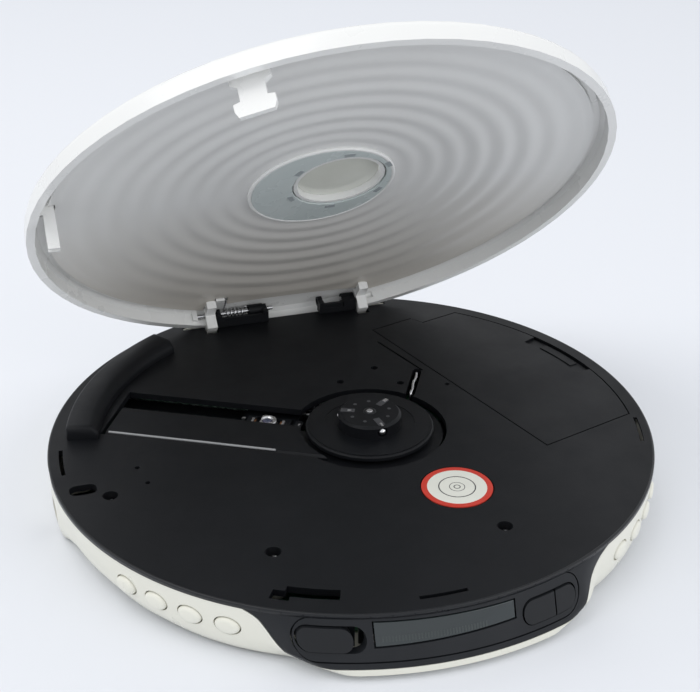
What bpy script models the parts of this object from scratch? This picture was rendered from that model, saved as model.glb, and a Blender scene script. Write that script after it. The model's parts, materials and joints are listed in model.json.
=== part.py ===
"""Portable disc player with a hinged round lid, built as separate pieces.

Metres, +Z up.  The origin is the middle of the underside's raised land, so Z is height above
the table.  The display and keys face -Y and the lid is hinged at +Y.  PHI is measured in plan
from -Y, positive towards +X.  DEPTH is measured down from the top face of the deck.
"""
import math

import bmesh
import bpy
from mathutils import Matrix, Vector

# Running gap between pieces, and the overrun of a cutter past what it cuts
GAP = 0.0003
OVERRUN = 0.0020

# Deck and body
DECK_RADIUS = 0.0680
DECK_HEIGHT = 0.0130
DECK_THICKNESS = 0.0015
DECK_RIM_THICKNESS = 0.0006
DECK_RIM_WIDTH = 0.0022
DECK_CHAMFER = 0.00025
BODY_TUCK = 0.0070
BODY_WALL = 0.0016
BODY_FLOOR = 0.0015
UNDERSIDE_RISE = 0.0005
LAND_RADIUS = 0.0400
LAND_STEP = 0.0008
BODY_DEPTH_SHARES = (0.0, 0.35, 0.65, 0.80, 0.90, 0.9615)
BODY_TUCK_SHARES = (0.03, 0.07, 0.16, 0.34, 0.62, 1.0)

# Front nose that carries the display
NOSE_REACH = 0.0034
NOSE_SHARES = (-0.12, 0.38, 0.82, 0.93, 0.50, -0.25)
NOSE_FLAT_DEG = 24.5
NOSE_END_DEG = 30.0
FASCIA_END_DEG = 34.4
FASCIA_THICKNESS = 0.0018
FASCIA_HALF_WIDTH = 0.0384
FASCIA_DROP = 0.0096
FASCIA_WIDTH_SHARES = (1.0, 0.92, 0.865, 0.80, 0.70)
FASCIA_DROP_SHARES = (0.0, 0.20, 0.54, 0.86, 1.0)
INSERT_LEFT = -0.0304
INSERT_RIGHT = 0.0266
INSERT_TOP = 0.0009
INSERT_BOTTOM = 0.0087
WINDOW_LEFT = -0.0160
WINDOW_RIGHT = 0.0115
WINDOW_TOP = 0.0017
WINDOW_BOTTOM = 0.0060
WINDOW_TAPER = 0.0009
WINDOW_THICKNESS = 0.0010
SLIDER_LEFT = -0.0298
SLIDER_LENGTH = 0.0098
SLIDER_TOP = 0.0025
SLIDER_BOTTOM = 0.0068
SLIDER_TRAVEL = 0.0022
SLIDER_PROUD = 0.0004
FRONT_KEYS_LEFT = 0.0134
FRONT_KEYS_RIGHT = 0.0256
FRONT_KEYS_SPLIT = 0.0207
FRONT_KEYS_TOP = 0.0030
FRONT_KEYS_BOTTOM = 0.0074
FRONT_KEY_PROUD = 0.0003
KEY_TRAVEL = 0.0005

# Oval keys on the side wall
SIDE_KEY_FIRST_DEG = 37.2
SIDE_KEY_STEP_DEG = 6.87
SIDE_KEY_COUNT = 4
SIDE_KEY_HALF_WIDTH = 0.0026
SIDE_KEY_HALF_HEIGHT = 0.0018
SIDE_KEY_DEPTH = 0.0059
SIDE_KEY_PROUD = 0.0008
SIDE_KEY_FLANGE = 0.0007
SIDE_KEY_FLANGE_THICKNESS = 0.0008

# Turntable, placed off the deck's centre so that a disc clears the guard
TURNTABLE_X = 0.0038
TURNTABLE_Y = -0.0020
WELL_RADIUS = 0.0176
PLATTER_RADIUS = 0.01455
PLATTER_RISE = 0.0009
PLATTER_THICKNESS = 0.0013
HUB_RADIUS = 0.0072
HUB_RISE = 0.0041
HUB_CROWN = 0.0006
SHAFT_RADIUS = 0.00075
SHAFT_RISE = 0.0044
BALL_RADIUS = 0.0009
BALL_TRAVEL = 0.0004
BALL_PROUD = 0.0003
BALL_COUNT = 3
BALL_FIRST_DEG = -83.0
MOTOR_RADIUS = 0.0100

# Optical pickup: U runs outward from the turntable, V towards the front left
SLED_DEG = 151.5
SLOT_BACK = -0.0044
SLOT_FRONT = 0.0027
BAND_FRONT = 0.0150
BAND_END = 0.0590
LENS_REACH = 0.0241
SLED_HALF_LENGTH = 0.0065
SLED_HALF_WIDTH = 0.0120
SLED_BOTTOM = 0.0069
SLED_TOP = 0.0101
ROD_OFFSET = 0.0105
ROD_RADIUS = 0.0009
ROD_HEIGHT = 0.0084
RAIL_HALF_WIDTH = 0.0006
ROD_START = 0.0134
ROD_END = 0.0668
SCREW_OFFSET = -0.0142
SCREW_RADIUS = 0.0008
SCREW_HEIGHT = 0.0084
SCREW_START = 0.0128
FEED_MOTOR_RADIUS = 0.0018
FEED_MOTOR_START = 0.0015
LENS_RING_RADIUS = 0.0024
LENS_RADIUS = 0.0015
LENS_RING_HEIGHT = 0.0009
FOCUS_TRAVEL = 0.0004
SHIELD_SIDE_GAP = 0.0008
SHIELD_DROP = 0.0001
SHIELD_THICKNESS = 0.0010
SHIELD_CHAMFER = 0.0005
SHIELD_WELL_DROP = 0.0013
SHIELD_PLATTER_GAP = 0.0012
CHASSIS_BOTTOM = 0.0056
CHASSIS_THICKNESS = 0.0008
CHASSIS_FRONT = 0.0165
CHASSIS_BACK = -0.0175
CHASSIS_START = -0.0160
CHASSIS_END = 0.0664

# Disc guard, a raised crescent at the back left
GUARD_OUTER = 0.06415
GUARD_INNER = 0.0568
GUARD_HEIGHT = 0.0032
GUARD_START_DEG = -138.0
GUARD_END_DEG = -102.0
GUARD_TAPER_DEG = 6.0
GUARD_CHAMFER = 0.0007

# Lid, drawn closed and turned about the hinge
LID_RADIUS = 0.0663
LID_WALL = 0.00185
LID_RIM = 0.0003
LID_WALL_TOP = 0.0033
LID_SHOULDER = 0.0052
LID_FILLET = 0.0022
LID_CROWN = 0.0089
LID_SKIN = 0.0011
LID_INNER_FILLET = 0.0009
LID_OPEN_DEG = 48.2
HINGE_Y = 0.0598
HINGE_RISE = 0.0026
LINER_RADIUS = 0.0620
LINER_THICKNESS = 0.0005
RIPPLE_HEIGHT = 0.00035
RIPPLE_INNER = 0.0180
RIPPLE_PITCH = 0.0058
RIPPLE_COUNT = 7
RIPPLE_STEPS = 2
INSERT_PLATE_RADIUS = 0.0162
INSERT_PLATE_THICKNESS = 0.0007
INSERT_PLATE_RISE = 0.0060
LID_WINDOW_RADIUS = 0.0095
COLLAR_WALL = 0.0008

# Hinge
EAR_X = 0.0204
EAR_WIDTH = 0.0026
EAR_HALF_DEPTH = 0.0021
EAR_DROP = 0.0044
PIN_RADIUS = 0.00055
PIN_LEFT_START = -0.0246
PIN_LEFT_END = -0.0034
PIN_RIGHT_START = 0.0152
PIN_RIGHT_END = 0.0223
BRACKET_FRONT = 0.0032
BRACKET_BACK = 0.0012
BRACKET_BOSS = 0.0013
BRACKET_CHEEK = 0.0013
LEFT_BRACKET_END = -0.0052
RIGHT_BRACKET_START = 0.0088
RIGHT_BRACKET_THICK_CHEEK = 0.0034
BRACKET_WEB = 0.0012
NOTCH_HALF_WIDTH = 0.0276
NOTCH_SETBACK = 0.0008
NOTCH_SIDE_SETBACK = 0.0014
NOTCH_DEPTH = 0.0046
EAR_SLOT_FRONT = 0.0052
SPRING_WIRE = 0.0002
SPRING_RADIUS = 0.0012
SPRING_START = -0.0163
SPRING_PITCH = 0.00098
SPRING_TURNS = 5
SPRING_POINTS = 9
SPRING_LEG = 0.0062
SPRING_TAIL = 0.0012
TAB_WIDTH = 0.0022
TAB_REACH = 0.0056
TAB_LENGTH = 0.0012

# Lid hooks
HOOK_PHI_DEG = -23.8
HOOK_RADIUS = 0.0620
HOOK_THICKNESS = 0.0012
HOOK_HALF_WIDTH = 0.0040
HOOK_NECK_HALF_WIDTH = 0.0026
HOOK_NECK_DROP = 0.0034
HOOK_SHOULDER_DROP = 0.0052
HOOK_DROP = 0.0065
HOOK_TIP_HALF_WIDTH = 0.0034
SIDE_HOOK_X = -0.0624
SIDE_HOOK_Y = -0.0087
SIDE_HOOK_LENGTH = 0.0024
SIDE_HOOK_FIN = 0.0006
SIDE_HOOK_SPACING = 0.0013
SIDE_HOOK_DROP = 0.0060

# Battery cover and bay: A runs along the straight edge, B towards the rim
BAY_CORNER_X = 0.0193
BAY_CORNER_Y = 0.0444
BAY_EDGE_DEG = -73.2
BAY_LENGTH = 0.0686
BAY_NEAR_WIDTH = 0.0123
BAY_STEP_WIDTH = 0.0136
BAY_STEP = 0.0037
COVER_ARC_RADIUS = 0.0648
COVER_THICKNESS = 0.0012
COVER_HINGE_INSET = 0.0014
COVER_PIN_RADIUS = 0.0004
COVER_PIN_REACH = 0.0012
NOTCH_PHI_START_DEG = 97.5
NOTCH_PHI_END_DEG = 116.0
FINGER_NOTCH_RADIUS = 0.0606
TONGUE_DROP = 0.0004
TRAY_WALL = 0.0008
TRAY_BOTTOM = 0.0026
CELL_LENGTH = 0.0664
CELL_WIDTH = 0.0168
CELL_THICKNESS = 0.0061
CELL_CORNER = 0.0014
CONTACT_THICKNESS = 0.0003

# Screws, bosses and feet
SCREW_HOLE_RADIUS = 0.00165
SCREW_HEAD_RADIUS = 0.0013
SCREW_HEAD_HEIGHT = 0.0010
SCREW_CROWN_SHARE = 0.6
SCREW_SLOT = 0.0005
SCREW_SHANK_RADIUS = 0.0007
SCREW_SHANK_LENGTH = 0.0054
SCREW_SEAT_DEPTH = 0.0027
SCREW_SEAT_THICKNESS = 0.0008
SHELL_BOSS_RADIUS = 0.0022
STAND_RADIUS = 0.0018
FOOT_RADIUS = 0.0042
FOOT_RECESS = 0.0008
FOOT_CIRCLE = 0.0500

# Board, sockets and small parts
BOARD_RADIUS = 0.0600
BOARD_THICKNESS = 0.0008
BOARD_BOTTOM = 0.0025
CHIP_SIZE = 0.0110
CHIP_HEIGHT = 0.0011
JACK_PHI_DEG = -87.4
JACK_HEIGHT = 0.0052
JACK_HOLE_RADIUS = 0.0031
JACK_RADIUS = 0.0027
JACK_BORE = 0.0018
JACK_LENGTH = 0.0120
POWER_PHI_DEG = 112.0
POWER_BORE = 0.0021
POWER_PIN = 0.0007
POWER_DEPTH = 0.0070
LABEL_X = 0.0140
LABEL_Y = -0.0309
LABEL_RADIUS = 0.0076
LABEL_RECESS = 0.0005
LABEL_THICKNESS = 0.00025
SWITCH_SIZE = 0.0030
SWITCH_HEIGHT = 0.0020
SWITCH_TOP = 0.0066
DISPLAY_DEPTH = 0.0022
DISPLAY_FRONT = 0.0040
WIRE_RADIUS = 0.00035

# Small openings in the deck, as places in plan
SCREW_PLACES = ((-0.0288, -0.0418), (0.0182, -0.0470), (-0.0566, -0.0127))
PIN_HOLES = ((-0.0495, -0.0036), (-0.0483, -0.0101), (0.0278, 0.0117))
GAUGE_HOLES = ((0.0135, 0.0245), (0.0035, 0.0202), (0.0172, 0.0155))
PIN_HOLE_RADIUS = 0.0006
GAUGE_HOLE_RADIUS = 0.0009
WIRE_SLOT_START = (0.0231, 0.0200)
WIRE_SLOT_END = (0.0177, 0.0097)
WIRE_SLOT_WIDTH = 0.0022
SEAM_START = (0.0187, 0.0375)
SEAM_END = (0.0244, 0.0201)
SEAM_WIDTH = 0.0005
OBLONG_X = -0.0618
OBLONG_Y = -0.0089
OBLONG_HALF_LENGTH = 0.0029
OBLONG_HALF_WIDTH = 0.0019
SLIT_WIDTH = 0.0009
LATCH_SLOT_INNER = 0.0605
LATCH_SLOT_OUTER = 0.0635
LATCH_SLOT_DEG = (-28.6, -18.9)
LATCH_STEP_OUTER = 0.0648
LATCH_STEP_DEG = (-30.8, -27.4)
RIM_SLITS = ((-97.3, -88.2, 0.0651), (67.0, 76.0, 0.0655), (-5.5, 3.1, 0.0641))
STAND_PLACES = ((-0.0125, 0.0130), (-0.0125, -0.0130), (0.0600, 0.0138))

FINE_END_DEG = 35.0
FINE_STEPS = 20
COARSE_STEPS = 40
ROUND = 64
MEDIUM = 32
SMALL = 16
TINY = 12


def radial(phi, radius, height=0.0):
    """A point at a radius from the deck's axis, PHI degrees from -Y towards +X."""
    turn = math.radians(phi)
    return Vector((radius * math.sin(turn), -radius * math.cos(turn), height))


def table_value(shares, values, position):
    """Straight-line value between the entries of a table."""
    for low, high, first, second in zip(shares, shares[1:], values, values[1:]):
        if position <= high:
            return first + (second - first) * (position - low) / (high - low)
    return values[-1]


def nose_weight(phi):
    """1 on the flat of the nose, 0 beyond its flanks."""
    share = (NOSE_END_DEG - abs(phi)) / (NOSE_END_DEG - NOSE_FLAT_DEG)
    share = min(1.0, max(0.0, share))
    return share * share * (3 - 2 * share)


def body_radius(phi, depth):
    """Outside of the body at a depth below the deck."""
    share = depth / DECK_HEIGHT
    plain = DECK_RADIUS - BODY_TUCK * table_value(BODY_DEPTH_SHARES, BODY_TUCK_SHARES, share)
    nose = DECK_RADIUS + NOSE_REACH * table_value(BODY_DEPTH_SHARES, NOSE_SHARES, share)
    weight = nose_weight(phi)
    return plain + (nose - plain) * weight


def body_angles():
    """PHI stations round the body, finer over the nose."""
    fine = [-FINE_END_DEG + 2 * FINE_END_DEG * step / FINE_STEPS for step in range(FINE_STEPS + 1)]
    sweep = 360 - 2 * FINE_END_DEG
    coarse = [FINE_END_DEG + sweep * step / COARSE_STEPS for step in range(1, COARSE_STEPS)]
    return fine + coarse


def material(name, colour, roughness, metallic=0.0, alpha=1.0):
    found = bpy.data.materials.get(name)
    if found:
        return found
    made = bpy.data.materials.new(name)
    made.use_nodes = True
    shader = made.node_tree.nodes["Principled BSDF"]
    shader.inputs["Base Color"].default_value = (*colour, 1.0)
    shader.inputs["Roughness"].default_value = roughness
    shader.inputs["Metallic"].default_value = metallic
    shader.inputs["Alpha"].default_value = alpha
    return made


FINISHES = {
    "white_gloss": ((0.86, 0.85, 0.80), 0.22, 0.0),
    "black_matte": ((0.020, 0.022, 0.025), 0.48, 0.0),
    "dark_grey": ((0.040, 0.043, 0.048), 0.42, 0.0),
    "liner_white": ((0.62, 0.62, 0.60), 0.38, 0.0),
    "tinted_clear": ((0.38, 0.42, 0.44), 0.12, 0.0),
    "display_glass": ((0.20, 0.24, 0.24), 0.10, 0.0),
    "steel": ((0.62, 0.62, 0.63), 0.25, 1.0),
    "brass": ((0.70, 0.55, 0.28), 0.35, 1.0),
    "circuit_green": ((0.04, 0.16, 0.08), 0.45, 0.0),
    "rubber": ((0.03, 0.03, 0.03), 0.80, 0.0),
    "label": ((0.85, 0.82, 0.80), 0.45, 0.0),
    "cell_wrap": ((0.30, 0.36, 0.46), 0.35, 0.0),
}


def new_object(name, mesh, finish="black_matte"):
    thing = bpy.data.objects.new(name, mesh)
    bpy.context.scene.collection.objects.link(thing)
    thing.data.materials.append(material(finish, *FINISHES[finish]))
    return thing


def finish_mesh(name, shape, finish="black_matte", smooth=True):
    """Turn a bmesh into an object with its faces out."""
    bmesh.ops.remove_doubles(shape, verts=shape.verts, dist=GAP / 300)
    bmesh.ops.recalc_face_normals(shape, faces=shape.faces)
    mesh = bpy.data.meshes.new(name)
    shape.to_mesh(mesh)
    shape.free()
    if smooth:
        mesh.shade_smooth()
        mesh.set_sharp_from_angle(angle=math.radians(32))
    return new_object(name, mesh, finish)


def loft(name, rings, finish="black_matte"):
    """A closed body through rings of points; a ring of one point is a pole."""
    shape = bmesh.new()
    layers = [[shape.verts.new(point) for point in ring] for ring in rings]
    for lower, upper in zip(layers, layers[1:]):
        count = max(len(lower), len(upper))
        for index in range(count):
            following = (index + 1) % count
            corners = [lower[index % len(lower)], lower[following % len(lower)],
                       upper[following % len(upper)], upper[index % len(upper)]]
            shape.faces.new(list(dict.fromkeys(corners)))
    for end in (layers[0], layers[-1]):
        if len(end) > 2:
            shape.faces.new(end)
    return finish_mesh(name, shape, finish)


def lathe(name, profile, steps=ROUND, centre=(0.0, 0.0), finish="black_matte"):
    """Spin a closed outline of (radius, height) points about an upright axis."""
    shape = bmesh.new()
    verts = [shape.verts.new((radius, 0.0, height)) for radius, height in profile]
    edges = [shape.edges.new((verts[i], verts[(i + 1) % len(verts)])) for i in range(len(verts))]
    bmesh.ops.spin(shape, geom=verts + edges, cent=(0, 0, 0), axis=(0, 0, 1),
                   angle=2 * math.pi, steps=steps, use_duplicate=False)
    bmesh.ops.remove_doubles(shape, verts=shape.verts, dist=GAP / 300)
    on_axis = [edge for edge in shape.edges if not edge.link_faces]
    bmesh.ops.delete(shape, geom=on_axis, context="EDGES")
    thing = finish_mesh(name, shape, finish)
    thing.data.transform(Matrix.Translation((centre[0], centre[1], 0.0)))
    return thing


def prism(name, outline, bottom, top, finish="black_matte"):
    """Extrude an outline in plan between two heights."""
    shape = bmesh.new()
    face = shape.faces.new([shape.verts.new((x, y, bottom)) for x, y in outline])
    grown = bmesh.ops.extrude_face_region(shape, geom=[face])
    raised = [item for item in grown["geom"] if isinstance(item, bmesh.types.BMVert)]
    bmesh.ops.translate(shape, verts=raised, vec=(0.0, 0.0, top - bottom))
    return finish_mesh(name, shape, finish)


def circle(radius, steps=SMALL, centre=(0.0, 0.0)):
    return [(centre[0] + radius * math.cos(2 * math.pi * step / steps),
             centre[1] + radius * math.sin(2 * math.pi * step / steps)) for step in range(steps)]


def drum(name, radius, bottom, top, centre=(0.0, 0.0), steps=SMALL, finish="black_matte"):
    return prism(name, circle(radius, steps, centre), bottom, top, finish)


def block(name, low, high, finish="black_matte"):
    outline = [(low[0], low[1]), (high[0], low[1]), (high[0], high[1]), (low[0], high[1])]
    return prism(name, outline, low[2], high[2], finish)


def rounded_outline(left, right, low, high, radius, steps=5):
    """A rectangle with round corners, counter-clockwise."""
    points = []
    corners = ((right - radius, low + radius, -90), (right - radius, high - radius, 0),
               (left + radius, high - radius, 90), (left + radius, low + radius, 180))
    for x, y, start in corners:
        for step in range(steps + 1):
            turn = math.radians(start + 90 * step / steps)
            points.append((x + radius * math.cos(turn), y + radius * math.sin(turn)))
    return points


def slot_outline(start, end, width, steps=5):
    """A round-ended slot between two places in plan."""
    first = Vector(start)
    second = Vector(end)
    along = (second - first).normalized()
    heading = math.atan2(along.y, along.x)
    points = []
    for centre, base in ((second, heading - math.pi / 2), (first, heading + math.pi / 2)):
        for step in range(steps + 1):
            turn = base + math.pi * step / steps
            points.append((centre.x + width / 2 * math.cos(turn), centre.y + width / 2 * math.sin(turn)))
    return points


def arc_outline(start, end, inner, outer, steps=6):
    """A band between two radii and two PHI angles."""
    turns = [start + (end - start) * step / steps for step in range(steps + 1)]
    near = [tuple(radial(phi, inner)[:2]) for phi in turns]
    far = [tuple(radial(phi, outer)[:2]) for phi in reversed(turns)]
    return near + far


def apply_boolean(target, tool, operation):
    change = target.modifiers.new(operation.lower(), "BOOLEAN")
    change.operation = operation
    change.solver = "EXACT"
    change.object = tool
    bpy.context.view_layer.update()
    graph = bpy.context.evaluated_depsgraph_get()
    mesh = bpy.data.meshes.new_from_object(target.evaluated_get(graph))
    target.modifiers.clear()
    target.data = mesh
    bpy.data.objects.remove(tool)


def cut(target, *tools):
    for tool in tools:
        apply_boolean(target, tool, "DIFFERENCE")
    return target


def fuse(target, *others):
    for other in others:
        apply_boolean(target, other, "UNION")
    return target


def keep(target, tool):
    apply_boolean(target, tool, "INTERSECT")
    return target


def move_mesh(thing, matrix):
    thing.data.transform(matrix)
    if matrix.to_3x3().determinant() < 0:
        thing.data.flip_normals()
    return thing


def hold(thing, holder):
    """Parent a piece whose mesh is in world places to an empty at a joint."""
    inverse = holder.matrix_world.inverted()
    thing.data.transform(inverse)
    thing.parent = holder
    return thing


def empty(name, matrix):
    holder = bpy.data.objects.new(name, None)
    bpy.context.scene.collection.objects.link(holder)
    holder.matrix_world = matrix
    bpy.context.view_layer.update()
    return holder


# Frames of the turntable, the sled, the bay and the hinge

SLED_TURN = math.radians(SLED_DEG)
SLED_FRAME = Matrix.Translation((TURNTABLE_X, TURNTABLE_Y, 0.0)) @ Matrix.Rotation(SLED_TURN, 4, "Z")
BAY_TURN = math.radians(BAY_EDGE_DEG)
BAY_FRAME = Matrix.Translation((BAY_CORNER_X, BAY_CORNER_Y, 0.0)) @ Matrix.Rotation(BAY_TURN, 4, "Z")
HINGE_Z = DECK_HEIGHT + HINGE_RISE
COVER_HINGE_Z = DECK_HEIGHT - DECK_THICKNESS / 2


def turn_to_sled(thing):
    return move_mesh(thing, SLED_FRAME)


def turn_to_bay(thing):
    return move_mesh(thing, BAY_FRAME)


def bay_place(a, b):
    point = BAY_FRAME @ Vector((a, b, 0.0))
    return (point.x, point.y)


def rod_along_x(name, radius, start, end, y, z, steps=TINY, finish="steel"):
    """A round bar along local X."""
    bar = drum(name, radius, start, end, steps=steps, finish=finish)
    lay_down = Matrix(((0, 0, 1, 0), (1, 0, 0, y), (0, 1, 0, z), (0, 0, 0, 1)))
    return move_mesh(bar, lay_down)


def front_tool(name, outline, near=None):
    """A cutter seen from the front: (x, depth) points extruded through the nose."""
    start = -(DECK_RADIUS + NOSE_REACH + OVERRUN)
    finish = near if near is not None else -DECK_RADIUS * 0.6
    shape = bmesh.new()
    face = shape.faces.new([shape.verts.new((x, start, DECK_HEIGHT - depth)) for x, depth in outline])
    grown = bmesh.ops.extrude_face_region(shape, geom=[face])
    moved = [item for item in grown["geom"] if isinstance(item, bmesh.types.BMVert)]
    bmesh.ops.translate(shape, verts=moved, vec=(0.0, finish - start, 0.0))
    return finish_mesh(name, shape)


def nose_skin(name, first, last, top, bottom, proud, thickness, finish):
    """A curved slab that follows the front of the body."""
    angles = []
    count = max(4, round((last - first) / 2.0))
    for step in range(count + 1):
        angles.append(first + (last - first) * step / count)
    levels = [top]
    for share in BODY_DEPTH_SHARES:
        depth = share * DECK_HEIGHT
        if top + GAP < depth < bottom - GAP:
            levels.append(depth)
    levels.append(bottom)
    rings = []
    for phi in angles:
        outer = [radial(phi, body_radius(phi, depth) + proud, DECK_HEIGHT - depth) for depth in levels]
        inner = [radial(phi, body_radius(phi, depth) + proud - thickness, DECK_HEIGHT - depth)
                 for depth in reversed(levels)]
        rings.append(outer + inner)
    return loft(name, rings, finish)


def fascia_outline(clearance):
    """Front view of the dark fascia: wide at the deck and narrower below."""
    half = [share * FASCIA_HALF_WIDTH + clearance for share in FASCIA_WIDTH_SHARES]
    drop = [share * FASCIA_DROP + clearance * (index > 0) for index, share in enumerate(FASCIA_DROP_SHARES)]
    drop[0] = -OVERRUN
    right = list(zip(half, drop))
    left = [(-x, depth) for x, depth in reversed(right)]
    return right + left


def insert_outline(clearance):
    radius = (INSERT_BOTTOM - INSERT_TOP) / 2 + clearance - GAP
    return rounded_outline(INSERT_LEFT - clearance, INSERT_RIGHT + clearance,
                           INSERT_TOP - clearance, INSERT_BOTTOM + clearance, radius)


def window_outline(clearance):
    return [(WINDOW_LEFT - clearance, WINDOW_TOP - clearance),
            (WINDOW_RIGHT + clearance, WINDOW_TOP + WINDOW_TAPER / 4 - clearance),
            (WINDOW_RIGHT + clearance, WINDOW_BOTTOM - WINDOW_TAPER + clearance),
            (WINDOW_LEFT - clearance, WINDOW_BOTTOM + clearance)]


def slider_outline(clearance, travel=0.0):
    radius = (SLIDER_BOTTOM - SLIDER_TOP) / 2 + clearance - GAP / 2
    return rounded_outline(SLIDER_LEFT - clearance, SLIDER_LEFT + SLIDER_LENGTH + travel + clearance,
                           SLIDER_TOP - clearance, SLIDER_BOTTOM + clearance, radius)


def front_keys_outline(clearance):
    radius = (FRONT_KEYS_BOTTOM - FRONT_KEYS_TOP) / 2 + clearance - GAP / 2
    return rounded_outline(FRONT_KEYS_LEFT - clearance, FRONT_KEYS_RIGHT + clearance,
                           FRONT_KEYS_TOP - clearance, FRONT_KEYS_BOTTOM + clearance, radius)


def side_key_angles():
    steps = [SIDE_KEY_FIRST_DEG + SIDE_KEY_STEP_DEG * index for index in range(SIDE_KEY_COUNT)]
    return [-phi for phi in steps] + steps


def key_frame(phi):
    """Local X points out of the wall at a side key."""
    place = radial(phi, body_radius(phi, SIDE_KEY_DEPTH), DECK_HEIGHT - SIDE_KEY_DEPTH)
    return Matrix.Translation(place) @ Matrix.Rotation(math.radians(phi - 90), 4, "Z")


def oval_ring(x, scale, extra=0.0, steps=16):
    half_width = SIDE_KEY_HALF_WIDTH * scale + extra
    half_height = SIDE_KEY_HALF_HEIGHT * scale + extra
    return [Vector((x, half_width * math.cos(2 * math.pi * step / steps),
                    half_height * math.sin(2 * math.pi * step / steps))) for step in range(steps)]


def oval_tool(name, clearance):
    reach = BODY_WALL + OVERRUN
    return loft(name, [oval_ring(-reach, 1.0, clearance), oval_ring(reach, 1.0, clearance)])


# The pieces of the body

def make_bottom_shell():
    angles = body_angles()
    bottom = DECK_HEIGHT - UNDERSIDE_RISE
    top = DECK_RIM_THICKNESS + GAP
    depths = [top] + [share * DECK_HEIGHT for share in BODY_DEPTH_SHARES[1:-1]] + [bottom]
    rings = [[Vector((0, 0, 0))]]
    rings.append([radial(phi, LAND_RADIUS) for phi in angles])
    rings.append([radial(phi, LAND_RADIUS + LAND_STEP, UNDERSIDE_RISE) for phi in angles])
    for depth in reversed(depths):
        rings.append([radial(phi, body_radius(phi, depth), DECK_HEIGHT - depth) for phi in angles])
    inner_depths = depths[:-2] + [bottom - BODY_FLOOR]
    for depth in inner_depths:
        rings.append([radial(phi, body_radius(phi, depth) - BODY_WALL, DECK_HEIGHT - depth)
                      for phi in angles])
    rings.append([Vector((0, 0, UNDERSIDE_RISE + BODY_FLOOR))])
    shell = loft("bottom_shell", rings, "white_gloss")
    fascia_room = front_tool("fascia_room", fascia_outline(GAP))
    notch = block("hinge_notch", (-NOTCH_HALF_WIDTH, HINGE_Y - NOTCH_SETBACK, DECK_HEIGHT - NOTCH_DEPTH),
                  (NOTCH_HALF_WIDTH, DECK_RADIUS + OVERRUN, DECK_HEIGHT + OVERRUN))
    cut(shell, fascia_room, notch)
    for phi in side_key_angles():
        cut(shell, move_mesh(oval_tool("key_hole", GAP), key_frame(phi)))
    floor = UNDERSIDE_RISE + BODY_FLOOR - GAP
    for x, y in SCREW_PLACES:
        seat = DECK_HEIGHT - SCREW_SEAT_DEPTH - SCREW_SEAT_THICKNESS - GAP
        fuse(shell, drum("boss", SHELL_BOSS_RADIUS, floor, seat, (x, y), TINY))
        cut(shell, drum("bore", SCREW_SHANK_RADIUS + GAP, seat - SCREW_SHANK_LENGTH, seat + OVERRUN, (x, y), TINY))
    for u, v in STAND_PLACES:
        boss = drum("boss", STAND_RADIUS, floor, CHASSIS_BOTTOM - GAP, (u, v), TINY)
        fuse(shell, turn_to_sled(boss))
    for x, y in foot_places():
        cut(shell, drum("foot_recess", FOOT_RADIUS + GAP, -OVERRUN, UNDERSIDE_RISE + FOOT_RECESS, (x, y)))
    for phi, radius in ((JACK_PHI_DEG, JACK_HOLE_RADIUS), (POWER_PHI_DEG, JACK_HOLE_RADIUS)):
        hole = rod_along_x("socket_hole", radius, DECK_RADIUS * 0.9, DECK_RADIUS + OVERRUN, 0.0, JACK_HEIGHT, SMALL)
        cut(shell, move_mesh(hole, Matrix.Rotation(math.radians(phi - 90), 4, "Z")))
    return shell


def foot_places():
    return [(FOOT_CIRCLE * math.cos(math.radians(turn)), FOOT_CIRCLE * math.sin(math.radians(turn)))
            for turn in (45, 135, 225, 315)]


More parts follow.
